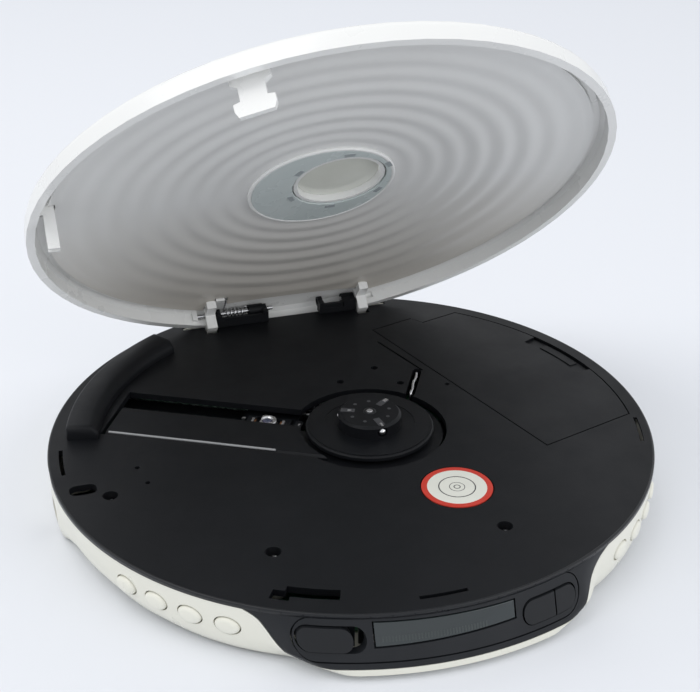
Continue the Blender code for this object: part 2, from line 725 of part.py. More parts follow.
def make_deck():
    angles = body_angles()

    heights = (DECK_HEIGHT, DECK_HEIGHT - DECK_CHAMFER, DECK_HEIGHT - DECK_RIM_THICKNESS,
               DECK_HEIGHT - DECK_RIM_THICKNESS, DECK_HEIGHT - DECK_THICKNESS)
    insets = (DECK_CHAMFER, 0.0, 0.0, DECK_RIM_WIDTH, DECK_RIM_WIDTH)
    rings = [[Vector((0, 0, DECK_HEIGHT))]]
    for height, inset in zip(heights, insets):
        rings.append([radial(phi, DECK_RADIUS - inset, height) for phi in angles])
    rings.append([Vector((0, 0, DECK_HEIGHT - DECK_THICKNESS))])
    deck = loft("deck_plate", rings, "black_matte")
    low = DECK_HEIGHT - DECK_THICKNESS - OVERRUN
    high = DECK_HEIGHT + OVERRUN
    for x, y in SCREW_PLACES:
        seat = DECK_HEIGHT - SCREW_SEAT_DEPTH
        fuse(deck, drum("boss", SHELL_BOSS_RADIUS, seat - SCREW_SEAT_THICKNESS, DECK_HEIGHT - DECK_THICKNESS / 2,
                        (x, y), TINY))
        cut(deck, drum("counterbore", SCREW_HOLE_RADIUS, seat, high, (x, y), SMALL),
            drum("bore", SCREW_SHANK_RADIUS + GAP, seat - OVERRUN, high, (x, y), TINY))
    cut(deck, drum("well", WELL_RADIUS, low, high, (TURNTABLE_X, TURNTABLE_Y), MEDIUM + TINY))
    cut(deck, turn_to_sled(block("band", (0.0, SLOT_BACK, low), (BAND_END, BAND_FRONT, high))))
    cut(deck, prism("cover_opening", cover_outline(0.0), low, high))
    pin_height = COVER_HINGE_Z
    for start, end in ((-COVER_PIN_REACH - GAP, OVERRUN), (BAY_LENGTH - OVERRUN, BAY_LENGTH + COVER_PIN_REACH + GAP)):
        cut(deck, turn_to_bay(rod_along_x("pin_bore", COVER_PIN_RADIUS + GAP / 2, start, end,
                                          COVER_HINGE_INSET, pin_height)))
    cut(deck, block("hinge_notch", (-NOTCH_HALF_WIDTH, HINGE_Y - NOTCH_SETBACK, low),
                    (NOTCH_HALF_WIDTH, DECK_RADIUS + OVERRUN, high)))
    for side in (-1, 1):
        middle = side * EAR_X
        half = EAR_WIDTH / 2 + GAP
        cut(deck, block("ear_slot", (middle - half, HINGE_Y - EAR_SLOT_FRONT, low),
                        (middle + half, HINGE_Y, high)))
        inner, outer = sorted((side * (EAR_X - half), side * NOTCH_HALF_WIDTH))
        cut(deck, block("side_notch", (inner, HINGE_Y - NOTCH_SIDE_SETBACK, low), (outer, HINGE_Y, high)))
    cut(deck, prism("latch_slot", arc_outline(*LATCH_SLOT_DEG, LATCH_SLOT_INNER, LATCH_SLOT_OUTER), low, high),
        prism("latch_step", arc_outline(*LATCH_STEP_DEG, (LATCH_SLOT_INNER + LATCH_SLOT_OUTER) / 2,
                                        LATCH_STEP_OUTER), low, high))
    for start, end, radius in RIM_SLITS:
        cut(deck, prism("rim_slit", arc_outline(start, end, radius - SLIT_WIDTH / 2, radius + SLIT_WIDTH / 2),
                        low, high))
    for x, y in PIN_HOLES:
        cut(deck, drum("pin_hole", PIN_HOLE_RADIUS, low, high, (x, y), 8))
    for x, y in GAUGE_HOLES:
        cut(deck, drum("gauge_hole", GAUGE_HOLE_RADIUS, low, high, (x, y), 8))
    cut(deck, prism("wire_slot", slot_outline(WIRE_SLOT_START, WIRE_SLOT_END, WIRE_SLOT_WIDTH), low, high))
    groove = DECK_HEIGHT - SEAM_WIDTH
    cut(deck, prism("seam", slot_outline(SEAM_START, SEAM_END, SEAM_WIDTH, 2), groove, high))
    across = Matrix.Translation((OBLONG_X, OBLONG_Y, 0.0))
    oblong = rounded_outline(-OBLONG_HALF_LENGTH, OBLONG_HALF_LENGTH, -OBLONG_HALF_WIDTH, OBLONG_HALF_WIDTH,
                             OBLONG_HALF_WIDTH - GAP, 4)
    cut(deck, move_mesh(prism("oblong", oblong, low, high), across))
    cut(deck, drum("label_recess", LABEL_RADIUS + GAP, DECK_HEIGHT - LABEL_RECESS, high, (LABEL_X, LABEL_Y), MEDIUM))
    return deck


def make_fascia():
    bottom = FASCIA_DROP
    first = -FASCIA_END_DEG - 0.4
    fascia = nose_skin("front_fascia", first, -first, DECK_RIM_THICKNESS + GAP, bottom, 0.0, FASCIA_THICKNESS, "dark_grey")
    keep(fascia, front_tool("fascia_shape", fascia_outline(0.0)))
    cut(fascia, front_tool("insert_room", insert_outline(GAP)))
    insert = nose_skin("fascia_insert", -NOSE_FLAT_DEG - 3, NOSE_FLAT_DEG, INSERT_TOP, INSERT_BOTTOM + GAP,
                       0.0, FASCIA_THICKNESS, "dark_grey")
    keep(insert, front_tool("insert_shape", insert_outline(0.0)))
    cut(insert, front_tool("window_room", window_outline(GAP)))
    cut(insert, front_tool("slider_room", slider_outline(GAP, SLIDER_TRAVEL)))
    cut(insert, front_tool("key_room", front_keys_outline(GAP)))
    window = nose_skin("display_window", -NOSE_FLAT_DEG, NOSE_FLAT_DEG, WINDOW_TOP - GAP, WINDOW_BOTTOM + GAP,
                       0.0, WINDOW_THICKNESS, "display_glass")
    keep(window, front_tool("window_shape", window_outline(0.0)))
    return fascia, insert, window


def make_display():
    front = -(DECK_RADIUS - DISPLAY_FRONT)
    return block("display_module", (WINDOW_LEFT, front, DECK_HEIGHT - WINDOW_BOTTOM - GAP),
                 (WINDOW_RIGHT, front + DISPLAY_DEPTH, DECK_HEIGHT - DECK_THICKNESS - GAP), "display_glass")


def slider_direction():
    middle = SLIDER_LEFT + SLIDER_LENGTH / 2
    phi = math.asin(middle / body_radius(0.0, (SLIDER_TOP + SLIDER_BOTTOM) / 2))
    return Vector((math.cos(phi), math.sin(phi), 0.0)), math.degrees(phi)


def make_open_slider():
    slider = nose_skin("open_slider", -NOSE_FLAT_DEG - 3, 0.0, SLIDER_TOP - GAP, SLIDER_BOTTOM + GAP,
                       SLIDER_PROUD, FASCIA_THICKNESS + SLIDER_PROUD, "dark_grey")
    keep(slider, front_tool("slider_shape", slider_outline(0.0)))
    catch_height = DECK_HEIGHT - HOOK_NECK_DROP + GAP
    turn = Matrix.Rotation(math.radians(HOOK_PHI_DEG), 4, "Z")
    start = HOOK_HALF_WIDTH + GAP * 1.4
    arm = HOOK_THICKNESS * 1.6
    inner = -(HOOK_RADIUS - HOOK_THICKNESS)
    outer = -(body_radius(0.0, SLIDER_TOP) - FASCIA_THICKNESS - GAP * 2)
    plate = block("latch_plate", (start, outer, catch_height), (start + arm, inner, catch_height + HOOK_THICKNESS * 0.7),
                  "steel")
    move_mesh(plate, turn)
    return slider, plate


def make_front_keys():
    names = ("front_key_left", "front_key_right")
    spans = ((FRONT_KEYS_LEFT - OVERRUN, FRONT_KEYS_SPLIT - GAP / 2), (FRONT_KEYS_SPLIT + GAP / 2, FRONT_KEYS_RIGHT + OVERRUN))
    keys = []
    for name, (left, right) in zip(names, spans):
        key = nose_skin(name, 0.0, NOSE_FLAT_DEG, FRONT_KEYS_TOP - GAP, FRONT_KEYS_BOTTOM + GAP,
                        FRONT_KEY_PROUD, FASCIA_THICKNESS + FRONT_KEY_PROUD, "dark_grey")
        keep(key, front_tool("keys_shape", front_keys_outline(0.0)))
        top = FRONT_KEYS_TOP - OVERRUN
        bottom = FRONT_KEYS_BOTTOM + OVERRUN
        keep(key, front_tool("key_side", [(left, top), (right, top), (right, bottom), (left, bottom)]))
        keys.append(key)
    return keys


def make_side_keys():
    keys = []
    for number, phi in enumerate(side_key_angles()):
        side = "left" if phi < 0 else "right"
        index = number % SIDE_KEY_COUNT + 1
        back = -BODY_WALL - GAP - SIDE_KEY_FLANGE_THICKNESS - KEY_TRAVEL
        front = back + SIDE_KEY_FLANGE_THICKNESS
        rings = [oval_ring(back, 1.0, SIDE_KEY_FLANGE), oval_ring(front, 1.0, SIDE_KEY_FLANGE),
                 oval_ring(front, 1.0), oval_ring(SIDE_KEY_PROUD * 0.3, 1.0),
                 oval_ring(SIDE_KEY_PROUD * 0.75, 0.82), oval_ring(SIDE_KEY_PROUD, 0.45),
                 [Vector((SIDE_KEY_PROUD, 0.0, 0.0))]]
        key = loft(f"{side}_key_{index}", rings, "white_gloss")
        key.matrix_world = key_frame(phi)
        keys.append(key)
    return keys


def make_guard():
    """Raised crescent that the disc's edge runs beside; it thins at its back end."""
    bottom = DECK_HEIGHT + GAP
    top = DECK_HEIGHT + GUARD_HEIGHT
    steps = 14
    rings = []
    for step in range(steps + 1):
        phi = GUARD_START_DEG + (GUARD_END_DEG - GUARD_START_DEG) * step / steps
        grown = min(1.0, (phi - GUARD_START_DEG) / GUARD_TAPER_DEG)
        height = bottom + (top - bottom) * (0.35 + 0.65 * grown)
        inner = GUARD_INNER
        rings.append([radial(phi, GUARD_OUTER, bottom), radial(phi, GUARD_OUTER, height - GUARD_CHAMFER),
                      radial(phi, GUARD_OUTER - GUARD_CHAMFER, height),
                      radial(phi, inner + GUARD_CHAMFER * 2, height),
                      radial(phi, inner, height - GUARD_CHAMFER * 2), radial(phi, inner, bottom)])
    return loft("disc_guard", rings, "black_matte")


# The turntable and its motor

def ball_angles():
    return [BALL_FIRST_DEG + 360 * index / BALL_COUNT for index in range(BALL_COUNT)]


def make_turntable():
    centre = (TURNTABLE_X, TURNTABLE_Y)
    top = DECK_HEIGHT + PLATTER_RISE
    bottom = top - PLATTER_THICKNESS
    crown = DECK_HEIGHT + HUB_RISE
    profile = [(0.0, bottom), (PLATTER_RADIUS - GAP, bottom), (PLATTER_RADIUS, bottom + GAP),
               (PLATTER_RADIUS, top - GAP), (PLATTER_RADIUS - GAP, top), (HUB_RADIUS, top),
               (HUB_RADIUS, crown - HUB_CROWN), (HUB_RADIUS - HUB_CROWN, crown), (0.0, crown)]
    table = lathe("turntable", profile, MEDIUM, centre, "black_matte")
    cut(table, drum("shaft_bore", SHAFT_RADIUS + GAP, bottom - OVERRUN, crown + OVERRUN, centre, TINY))
    height = ball_height()
    reach = BALL_RADIUS + GAP
    for angle in ball_angles():
        pocket = rod_along_x("ball_pocket", reach, HUB_RADIUS - BALL_TRAVEL - 2 * BALL_RADIUS - 2 * GAP,
                             HUB_RADIUS + OVERRUN, 0.0, height, 8)
        cut(table, move_mesh(pocket, Matrix.Translation((*centre, 0.0)) @ Matrix.Rotation(math.radians(angle), 4, "Z")))
    shaft = drum("spindle_shaft", SHAFT_RADIUS, SLED_BOTTOM + GAP * 2, DECK_HEIGHT + SHAFT_RISE, centre, TINY, "steel")
    return table, shaft


def ball_height():
    return DECK_HEIGHT + PLATTER_RISE + (HUB_RISE - PLATTER_RISE) / 2


def make_balls():
    balls = []
    for index, angle in enumerate(ball_angles()):
        shape = bmesh.new()
        bmesh.ops.create_icosphere(shape, subdivisions=1, radius=BALL_RADIUS)
        ball = finish_mesh(f"chuck_ball_{index + 1}", shape, "steel")
        out = HUB_RADIUS - BALL_RADIUS + BALL_PROUD
        turn = math.radians(angle)
        ball.location = (TURNTABLE_X + out * math.cos(turn), TURNTABLE_Y + out * math.sin(turn), ball_height())
        ball.rotation_euler = (0.0, 0.0, turn)
        balls.append(ball)
    return balls


def make_spindle_motor():
    centre = (TURNTABLE_X, TURNTABLE_Y)
    bottom = CHASSIS_BOTTOM + CHASSIS_THICKNESS + GAP
    top = DECK_HEIGHT - SHIELD_WELL_DROP - SHIELD_THICKNESS - 2 * GAP
    motor = lathe("spindle_motor", [(0.0, bottom), (MOTOR_RADIUS, bottom), (MOTOR_RADIUS, top - LAND_STEP),
                                    (MOTOR_RADIUS - LAND_STEP, top), (0.0, top)], MEDIUM // 2, centre, "steel")
    cut(motor, drum("bearing", SHAFT_RADIUS + GAP, bottom + GAP, top + OVERRUN, centre, TINY))
    return motor


# The optical pickup and its drive

def make_chassis():
    top = CHASSIS_BOTTOM + CHASSIS_THICKNESS
    outline = rounded_outline(CHASSIS_START, CHASSIS_END, CHASSIS_BACK, CHASSIS_FRONT, CHASSIS_THICKNESS * 4, 3)
    chassis = prism("mechanism_chassis", outline, CHASSIS_BOTTOM, top, "dark_grey")
    margin = SLED_HALF_WIDTH - ROD_OFFSET
    for side in (-1, 1):
        for u in (ROD_START + GAP, ROD_END - margin * 1.6):
            post = block("post", (u, side * ROD_OFFSET - margin, top - GAP),
                         (u + margin, side * ROD_OFFSET + margin, ROD_HEIGHT + margin * 1.2))
            fuse(chassis, post)
    window = block("window", (MOTOR_RADIUS + ROD_RADIUS, -ROD_OFFSET + margin * 1.6, CHASSIS_BOTTOM - OVERRUN),
                   (CHASSIS_END - margin * 4, ROD_OFFSET - margin * 1.6, top + OVERRUN))
    cut(chassis, window)
    cut(chassis, rod_along_x("rod_seat", ROD_RADIUS + GAP, ROD_START - OVERRUN, ROD_END + OVERRUN,
                             -ROD_OFFSET, ROD_HEIGHT))
    rail = block("rail", (ROD_START + GAP * 2, ROD_OFFSET - RAIL_HALF_WIDTH, ROD_HEIGHT - RAIL_HALF_WIDTH),
                 (ROD_END - GAP, ROD_OFFSET + RAIL_HALF_WIDTH, ROD_HEIGHT + RAIL_HALF_WIDTH))
    fuse(chassis, rail)
    bearing = block("screw_post", (ROD_END - margin * 1.6, SCREW_OFFSET - margin, top - GAP),
                    (ROD_END - margin * 0.6, SCREW_OFFSET + margin, SCREW_HEIGHT + margin))
    fuse(chassis, bearing)
    cut(chassis, rod_along_x("screw_seat", SCREW_RADIUS + GAP, ROD_END - OVERRUN * 2, ROD_END + OVERRUN,
                             SCREW_OFFSET, SCREW_HEIGHT))
    return turn_to_sled(chassis)


def make_rod():
    return turn_to_sled(rod_along_x("guide_rod", ROD_RADIUS, ROD_START, ROD_END, -ROD_OFFSET, ROD_HEIGHT,
                                    TINY, "steel"))


def make_lead_screw():
    screw = rod_along_x("lead_screw", SCREW_RADIUS, SCREW_START, ROD_END, 0.0, 0.0, 10, "steel")
    holder = Matrix.Translation((0.0, SCREW_OFFSET, SCREW_HEIGHT))
    screw.matrix_world = SLED_FRAME @ holder
    return screw


def make_feed_motor():
    motor = rod_along_x("feed_motor", FEED_MOTOR_RADIUS, FEED_MOTOR_START, SCREW_START - GAP,
                        SCREW_OFFSET, SCREW_HEIGHT, SMALL, "steel")
    return turn_to_sled(motor)


def make_sled():
    margin = SLED_HALF_WIDTH - ROD_OFFSET
    low = LENS_REACH - SLED_HALF_LENGTH
    high = LENS_REACH + SLED_HALF_LENGTH
    sled = block("pickup_sled", (low, -ROD_OFFSET + margin, SLED_BOTTOM), (high, ROD_OFFSET - margin, SLED_TOP), "black_matte")
    nut = block("nut", (LENS_REACH - margin, SCREW_OFFSET - margin, SLED_BOTTOM),
                (LENS_REACH + margin, -ROD_OFFSET - margin / 2, SLED_TOP))
    fuse(sled, nut)
    for side, reach in ((-1, SLED_HALF_LENGTH), (1, SLED_HALF_LENGTH * 0.5)):
        arm = block("arm", (LENS_REACH - reach, min(side * ROD_OFFSET - margin, side * ROD_OFFSET + margin * 1.2),
                            SLED_BOTTOM), (LENS_REACH + reach, side * ROD_OFFSET + margin * 1.2, SLED_TOP))
        fuse(sled, arm)
    cut(sled, rod_along_x("rod_bore", ROD_RADIUS + GAP, low - OVERRUN, high + OVERRUN, -ROD_OFFSET, ROD_HEIGHT))
    room = RAIL_HALF_WIDTH + GAP
    cut(sled, block("rail_room", (low - OVERRUN, ROD_OFFSET - room, ROD_HEIGHT - room),
                    (high + OVERRUN, ROD_OFFSET + margin * 2, ROD_HEIGHT + room)))
    cut(sled, rod_along_x("nut_bore", SCREW_RADIUS + GAP, low, high, SCREW_OFFSET, SCREW_HEIGHT))
    pocket = drum("lens_pocket", LENS_RING_RADIUS + GAP * 2, SLED_TOP - LENS_RING_HEIGHT - FOCUS_TRAVEL, SLED_TOP + OVERRUN,
                  (LENS_REACH, 0.0))
    cut(sled, pocket)
    return turn_to_sled(sled)


def make_lens():
    low = SLED_TOP - LENS_RING_HEIGHT + GAP
    top = low + LENS_RING_HEIGHT + GAP
    half = LENS_RADIUS + GAP
    ring = lathe("lens_holder", [(half, low), (LENS_RING_RADIUS, low), (LENS_RING_RADIUS, top - GAP),
                                 (LENS_RING_RADIUS - GAP, top), (half, top)], SMALL, (LENS_REACH, 0.0), "steel")
    turn_to_sled(ring)
    bulge = LENS_RADIUS * 0.3
    lens = lathe("pickup_lens", [(0.0, low), (LENS_RADIUS, low), (LENS_RADIUS, top - bulge), (LENS_RADIUS * 0.6, top),
                                 (0.0, top + bulge * 0.4)], TINY, (LENS_REACH, 0.0), "tinted_clear")
    turn_to_sled(lens)
    return ring, lens


def make_shield():
    """Formed plate: a low ring round the turntable and a raised cover in front of the lens slot."""
    top = DECK_HEIGHT - SHIELD_DROP
    well_top = DECK_HEIGHT - DECK_THICKNESS + SHIELD_THICKNESS * 0.2
    front = BAND_FRONT - SHIELD_SIDE_GAP
    end = BAND_END - SHIELD_SIDE_GAP
    back = SLOT_FRONT
    outline = [(0.0, back), (end, back), (end, front), (0.0, front)]
    shield = prism("shield_plate", outline, well_top - SHIELD_THICKNESS, top - SHIELD_CHAMFER, "black_matte")
    crest = [(0.0, back), (end, back), (end, front - SHIELD_CHAMFER), (0.0, front - SHIELD_CHAMFER)]
    lower = [(0.0, back), (end, back), (end, front), (0.0, front)]
    rise = [[Vector((u, v, top - SHIELD_CHAMFER - GAP)) for u, v in lower],
            [Vector((u, v, top - SHIELD_CHAMFER)) for u, v in lower],
            [Vector((u, v, top)) for u, v in crest]]
    fuse(shield, loft("crest", rise))
    cut(shield, drum("platter_room", PLATTER_RADIUS + SHIELD_PLATTER_GAP, well_top, top + OVERRUN, (0.0, 0.0), MEDIUM))
    ring = drum("well_floor", WELL_RADIUS - SHIELD_SIDE_GAP, well_top - SHIELD_THICKNESS, well_top, (0.0, 0.0), MEDIUM)
    fuse(shield, ring)
    cut(shield, drum("motor_room", MOTOR_RADIUS * 0.62, well_top - OVERRUN * 2, top + OVERRUN, (0.0, 0.0), SMALL))
    cut(shield, block("slot", (PLATTER_RADIUS * 0.9, SLOT_BACK - OVERRUN, well_top - OVERRUN * 2),
                      (WELL_RADIUS + OVERRUN, SLOT_FRONT, top + OVERRUN)))
    return turn_to_sled(shield)


# Board, sockets and small parts inside

def make_board():
    board = drum("main_board", BOARD_RADIUS, BOARD_BOTTOM, BOARD_BOTTOM + BOARD_THICKNESS, steps=MEDIUM,
                 finish="circuit_green")
    reach = 2 * DECK_RADIUS
    clear = -TRAY_WALL - GAP * 3
    cut(board, turn_to_bay(block("bay_side", (-reach, clear, 0.0), (reach, reach, DECK_HEIGHT))))
    top = BOARD_BOTTOM + BOARD_THICKNESS
    for x, y in ((-0.45, -0.5), (0.0, -0.62)):
        centre = (x * BOARD_RADIUS, y * BOARD_RADIUS)
        fuse(board, block("chip", (centre[0] - CHIP_SIZE / 2, centre[1] - CHIP_SIZE / 2, top - GAP),
                          (centre[0] + CHIP_SIZE / 2, centre[1] + CHIP_SIZE / 2, top + CHIP_HEIGHT)))
    for x, y in SCREW_PLACES:
        cut(board, drum("boss_room", SHELL_BOSS_RADIUS + GAP * 2, 0.0, DECK_HEIGHT, (x, y), TINY))
    for u, v in STAND_PLACES:
        cut(board, turn_to_sled(drum("boss_room", STAND_RADIUS + GAP * 2, 0.0, DECK_HEIGHT, (u, v), TINY)))
    lift = JACK_HEIGHT - JACK_RADIUS - GAP
    if lift < top:
        for phi in (JACK_PHI_DEG, POWER_PHI_DEG):
            room = block("jack_room", (BOARD_RADIUS - JACK_LENGTH, -JACK_RADIUS - 2 * GAP, 0.0),
                         (DECK_RADIUS, JACK_RADIUS + 2 * GAP, DECK_HEIGHT))
            cut(board, move_mesh(room, Matrix.Rotation(math.radians(phi - 90), 4, "Z")))
    return board


def make_socket(name, phi, bore, depth, pin):
    """A round socket that looks out through the wall."""
    face = body_radius(phi, DECK_HEIGHT - JACK_HEIGHT) - BODY_WALL * 0.4
    socket = rod_along_x(name, JACK_RADIUS, face - JACK_LENGTH, face, 0.0, JACK_HEIGHT, SMALL, "black_matte")
    cut(socket, rod_along_x("bore", bore, face - depth, face + OVERRUN, 0.0, JACK_HEIGHT, TINY))
    if pin:
        fuse(socket, rod_along_x("centre_pin", pin, face - depth - OVERRUN, face - GAP * 3, 0.0, JACK_HEIGHT, 8))
    return move_mesh(socket, Matrix.Rotation(math.radians(phi - 90), 4, "Z"))


def make_feet():
    top = UNDERSIDE_RISE + FOOT_RECESS - GAP
    for number, place in enumerate(foot_places()):
        drum(f"rubber_foot_{number + 1}", FOOT_RADIUS, 0.0, top, place, SMALL, "rubber")


def make_screws():
    seat = DECK_HEIGHT - SCREW_SEAT_DEPTH + GAP
    tip = seat - SCREW_SHANK_LENGTH
    shoulder = seat + SCREW_HEAD_HEIGHT * SCREW_CROWN_SHARE
    top = seat + SCREW_HEAD_HEIGHT
    for number, place in enumerate(SCREW_PLACES):
        profile = [(0.0, tip), (SCREW_SHANK_RADIUS, tip), (SCREW_SHANK_RADIUS, seat),
                   (SCREW_HEAD_RADIUS, seat), (SCREW_HEAD_RADIUS, shoulder),
                   (SCREW_HEAD_RADIUS * SCREW_CROWN_SHARE, top), (0.0, top)]
        screw = lathe(f"deck_screw_{number + 1}", profile, TINY, place, "steel")
        slot = slot_outline((place[0] - SCREW_HEAD_RADIUS / 2, place[1]),
                            (place[0] + SCREW_HEAD_RADIUS / 2, place[1]), SCREW_SLOT, 2)
        cut(screw, prism("driver_slot", slot, shoulder, top + OVERRUN))


def make_switch():
    bottom = BOARD_BOTTOM + BOARD_THICKNESS + GAP
    half = SWITCH_SIZE / 2
    middle = (OBLONG_X + half, OBLONG_Y)
    switch = block("lid_switch", (middle[0] - half, middle[1] - half, bottom), (middle[0] + half, middle[1] + half,
                   SWITCH_TOP - SWITCH_HEIGHT / 2), "dark_grey")
    fuse(switch, drum("plunger", half * 0.4, bottom + GAP, SWITCH_TOP, middle, 8))
    return switch


def make_label():
    bottom = DECK_HEIGHT - LABEL_RECESS + GAP
    return drum("round_label", LABEL_RADIUS, bottom, bottom + LABEL_THICKNESS, (LABEL_X, LABEL_Y), MEDIUM, "label")


def make_wire_spring():
    """A bent wire that stands in its slot beside the turntable."""
    start = Vector((*WIRE_SLOT_START, 0.0))
    end = Vector((*WIRE_SLOT_END, 0.0))
    along = (end - start).normalized()
    low = DECK_HEIGHT - DECK_THICKNESS * 1.6
    high = DECK_HEIGHT - WIRE_RADIUS * 0.5
    inset = WIRE_SLOT_WIDTH * 0.35
    route = [start + along * inset + Vector((0, 0, low)), start + along * inset + Vector((0, 0, high)),
             end - along * inset + Vector((0, 0, high)), end - along * inset + Vector((0, 0, low))]
    return tube("wire_spring", route, WIRE_RADIUS, "steel")


def tube(name, points, radius, finish):
    """One unbroken round wire through points."""
    curve = bpy.data.curves.new(name, "CURVE")
    curve.dimensions = "3D"
    curve.bevel_depth = radius
    curve.bevel_resolution = 1
    curve.use_fill_caps = True
    spline = curve.splines.new("POLY")
    spline.points.add(len(points) - 1)
    for point, place in zip(spline.points, points):
        point.co = (*place, 1.0)
    thing = bpy.data.objects.new(name, curve)
    bpy.context.scene.collection.objects.link(thing)
    curve.materials.append(material(finish, *FINISHES[finish]))
    return thing


# Battery bay and cover

def cover_arc(clearance):
    """Points of the cover's curved edge, from the back corner to the front one."""
    radius = COVER_ARC_RADIUS - clearance
    start = arc_turn(BAY_STEP + clearance, radius)
    end = arc_turn(BAY_LENGTH - clearance, radius)
    steps = 16
    return [start + (end - start) * step / steps for step in range(steps + 1)], radius


def arc_turn(a, radius):
    """Plan angle, in radians, where a line of constant A meets an arc about the deck's axis."""
    foot_a = -(BAY_CORNER_X * math.cos(BAY_TURN) + BAY_CORNER_Y * math.sin(BAY_TURN))
    return BAY_TURN + math.acos(max(-1.0, min(1.0, (a - foot_a) / radius)))


def cover_outline(clearance):
    turns, radius = cover_arc(clearance)
    points = [bay_place(clearance, clearance), bay_place(BAY_LENGTH - clearance, clearance)]
    points += [(radius * math.cos(turn), radius * math.sin(turn)) for turn in reversed(turns)]
    points += [bay_place(BAY_STEP + clearance, BAY_STEP_WIDTH), bay_place(clearance, BAY_NEAR_WIDTH)]
    return points


def make_cover():
    top = DECK_HEIGHT
    bottom = top - COVER_THICKNESS
    cover = prism("battery_cover", cover_outline(GAP), bottom, top, "black_matte")
    notch = arc_outline(NOTCH_PHI_START_DEG, NOTCH_PHI_END_DEG, FINGER_NOTCH_RADIUS, DECK_RADIUS)
    cut(cover, prism("finger_notch", notch, top - TONGUE_DROP * 1.6, top + OVERRUN))
    tongue_start = NOTCH_PHI_START_DEG + 4
    tongue_end = NOTCH_PHI_END_DEG - 4
    fuse(cover, prism("tongue", arc_outline(tongue_start, tongue_end, FINGER_NOTCH_RADIUS + HOOK_THICKNESS,
                                            COVER_ARC_RADIUS - GAP * 3), bottom + GAP, top - TONGUE_DROP))
    for start, end in ((-COVER_PIN_REACH, COVER_PIN_REACH), (BAY_LENGTH - COVER_PIN_REACH, BAY_LENGTH + COVER_PIN_REACH)):
        pin = rod_along_x("pin", COVER_PIN_RADIUS, start, end, COVER_HINGE_INSET, COVER_HINGE_Z, 8)
        fuse(cover, turn_to_bay(pin))
    return cover


def make_tray():
    wall = TRAY_WALL
    top = DECK_HEIGHT - COVER_THICKNESS - GAP
    width = CELL_WIDTH + 2 * GAP
    tray = block("battery_tray", (-wall, -wall, TRAY_BOTTOM), (BAY_LENGTH + wall, width + 2 * wall, top), "black_matte")
    cut(tray, block("room", (0.0, 0.0, TRAY_BOTTOM + wall), (BAY_LENGTH, width + wall, top + OVERRUN)))
    return turn_to_bay(tray)


def cell_heights():
    bottom = TRAY_BOTTOM + TRAY_WALL + GAP
    return bottom, bottom + CELL_THICKNESS


def make_cell():
    bottom, top = cell_heights()
    start = (BAY_LENGTH - CELL_LENGTH) / 2
    outline = rounded_outline(GAP, GAP + CELL_WIDTH, bottom, top, CELL_CORNER, 3)
    rings = [[Vector((start, b, z)) for b, z in outline], [Vector((start + CELL_LENGTH, b, z)) for b, z in outline]]
    return turn_to_bay(loft("battery_cell", rings, "cell_wrap"))


def make_contacts():
    bottom, top = cell_heights()
    start = (BAY_LENGTH - CELL_LENGTH) / 2
    half = CELL_WIDTH * 0.22
    middle = GAP + CELL_WIDTH / 2
    for name, a in (("battery_contact_back", GAP), ("battery_contact_front", BAY_LENGTH - GAP - CONTACT_THICKNESS)):
        leaf = block(name, (a, middle - half, bottom), (a + CONTACT_THICKNESS, middle + half, top), "brass")
        inner = start - GAP if a < BAY_LENGTH / 2 else BAY_LENGTH - start + GAP
        near, far = sorted((a + CONTACT_THICKNESS / 2, inner))
        height = (bottom + top) / 2
        fuse(leaf, block("dimple", (near, middle - half / 2, height - half / 3), (far, middle + half / 2, height + half / 3)))
        turn_to_bay(leaf)


# Hinge

def bracket(name, start, end, cheeks, web_height):
    """A black stand on the deck whose cheeks carry a hinge pin."""
    bottom = DECK_HEIGHT + GAP
    front = HINGE_Y - BRACKET_FRONT
    back = HINGE_Y - NOTCH_SETBACK
    stand = block(name, (start, front, bottom), (end, back, DECK_HEIGHT + web_height), "black_matte")
    for low, high in cheeks:
        boss = rod_along_x("boss", BRACKET_BOSS, low, high, HINGE_Y, HINGE_Z, 16)
        foot = block("foot", (low, front, bottom), (high, HINGE_Y - GAP, HINGE_Z + BRACKET_BOSS * 0.6))
        fuse(stand, foot, boss)
    cut(stand, rod_along_x("bore", PIN_RADIUS + GAP, start - OVERRUN, end + OVERRUN, HINGE_Y, HINGE_Z, TINY))
    return stand


def make_brackets():
    ear_face = EAR_X - EAR_WIDTH / 2 - GAP
    left = bracket("hinge_bracket_left", -ear_face, LEFT_BRACKET_END,
                   ((-ear_face, -ear_face + BRACKET_CHEEK), (LEFT_BRACKET_END - BRACKET_CHEEK, LEFT_BRACKET_END)),
                   BRACKET_WEB)
    front = block("front_wall", (-ear_face, HINGE_Y - BRACKET_FRONT, DECK_HEIGHT + BRACKET_WEB - GAP),
                  (LEFT_BRACKET_END, HINGE_Y - BRACKET_FRONT + BRACKET_CHEEK / 2, HINGE_Z - GAP))
    fuse(left, front)
    right = bracket("hinge_bracket_right", RIGHT_BRACKET_START, ear_face,
                    ((RIGHT_BRACKET_START, RIGHT_BRACKET_START + BRACKET_CHEEK),
                     (ear_face - RIGHT_BRACKET_THICK_CHEEK, ear_face)), BRACKET_WEB * 1.5)
    return left, right


def make_pins():
    left = rod_along_x("hinge_pin_left", PIN_RADIUS, PIN_LEFT_START, PIN_LEFT_END, HINGE_Y, HINGE_Z)
    right = rod_along_x("hinge_pin_right", PIN_RADIUS, PIN_RIGHT_START, PIN_RIGHT_END, HINGE_Y, HINGE_Z)
    return left, right


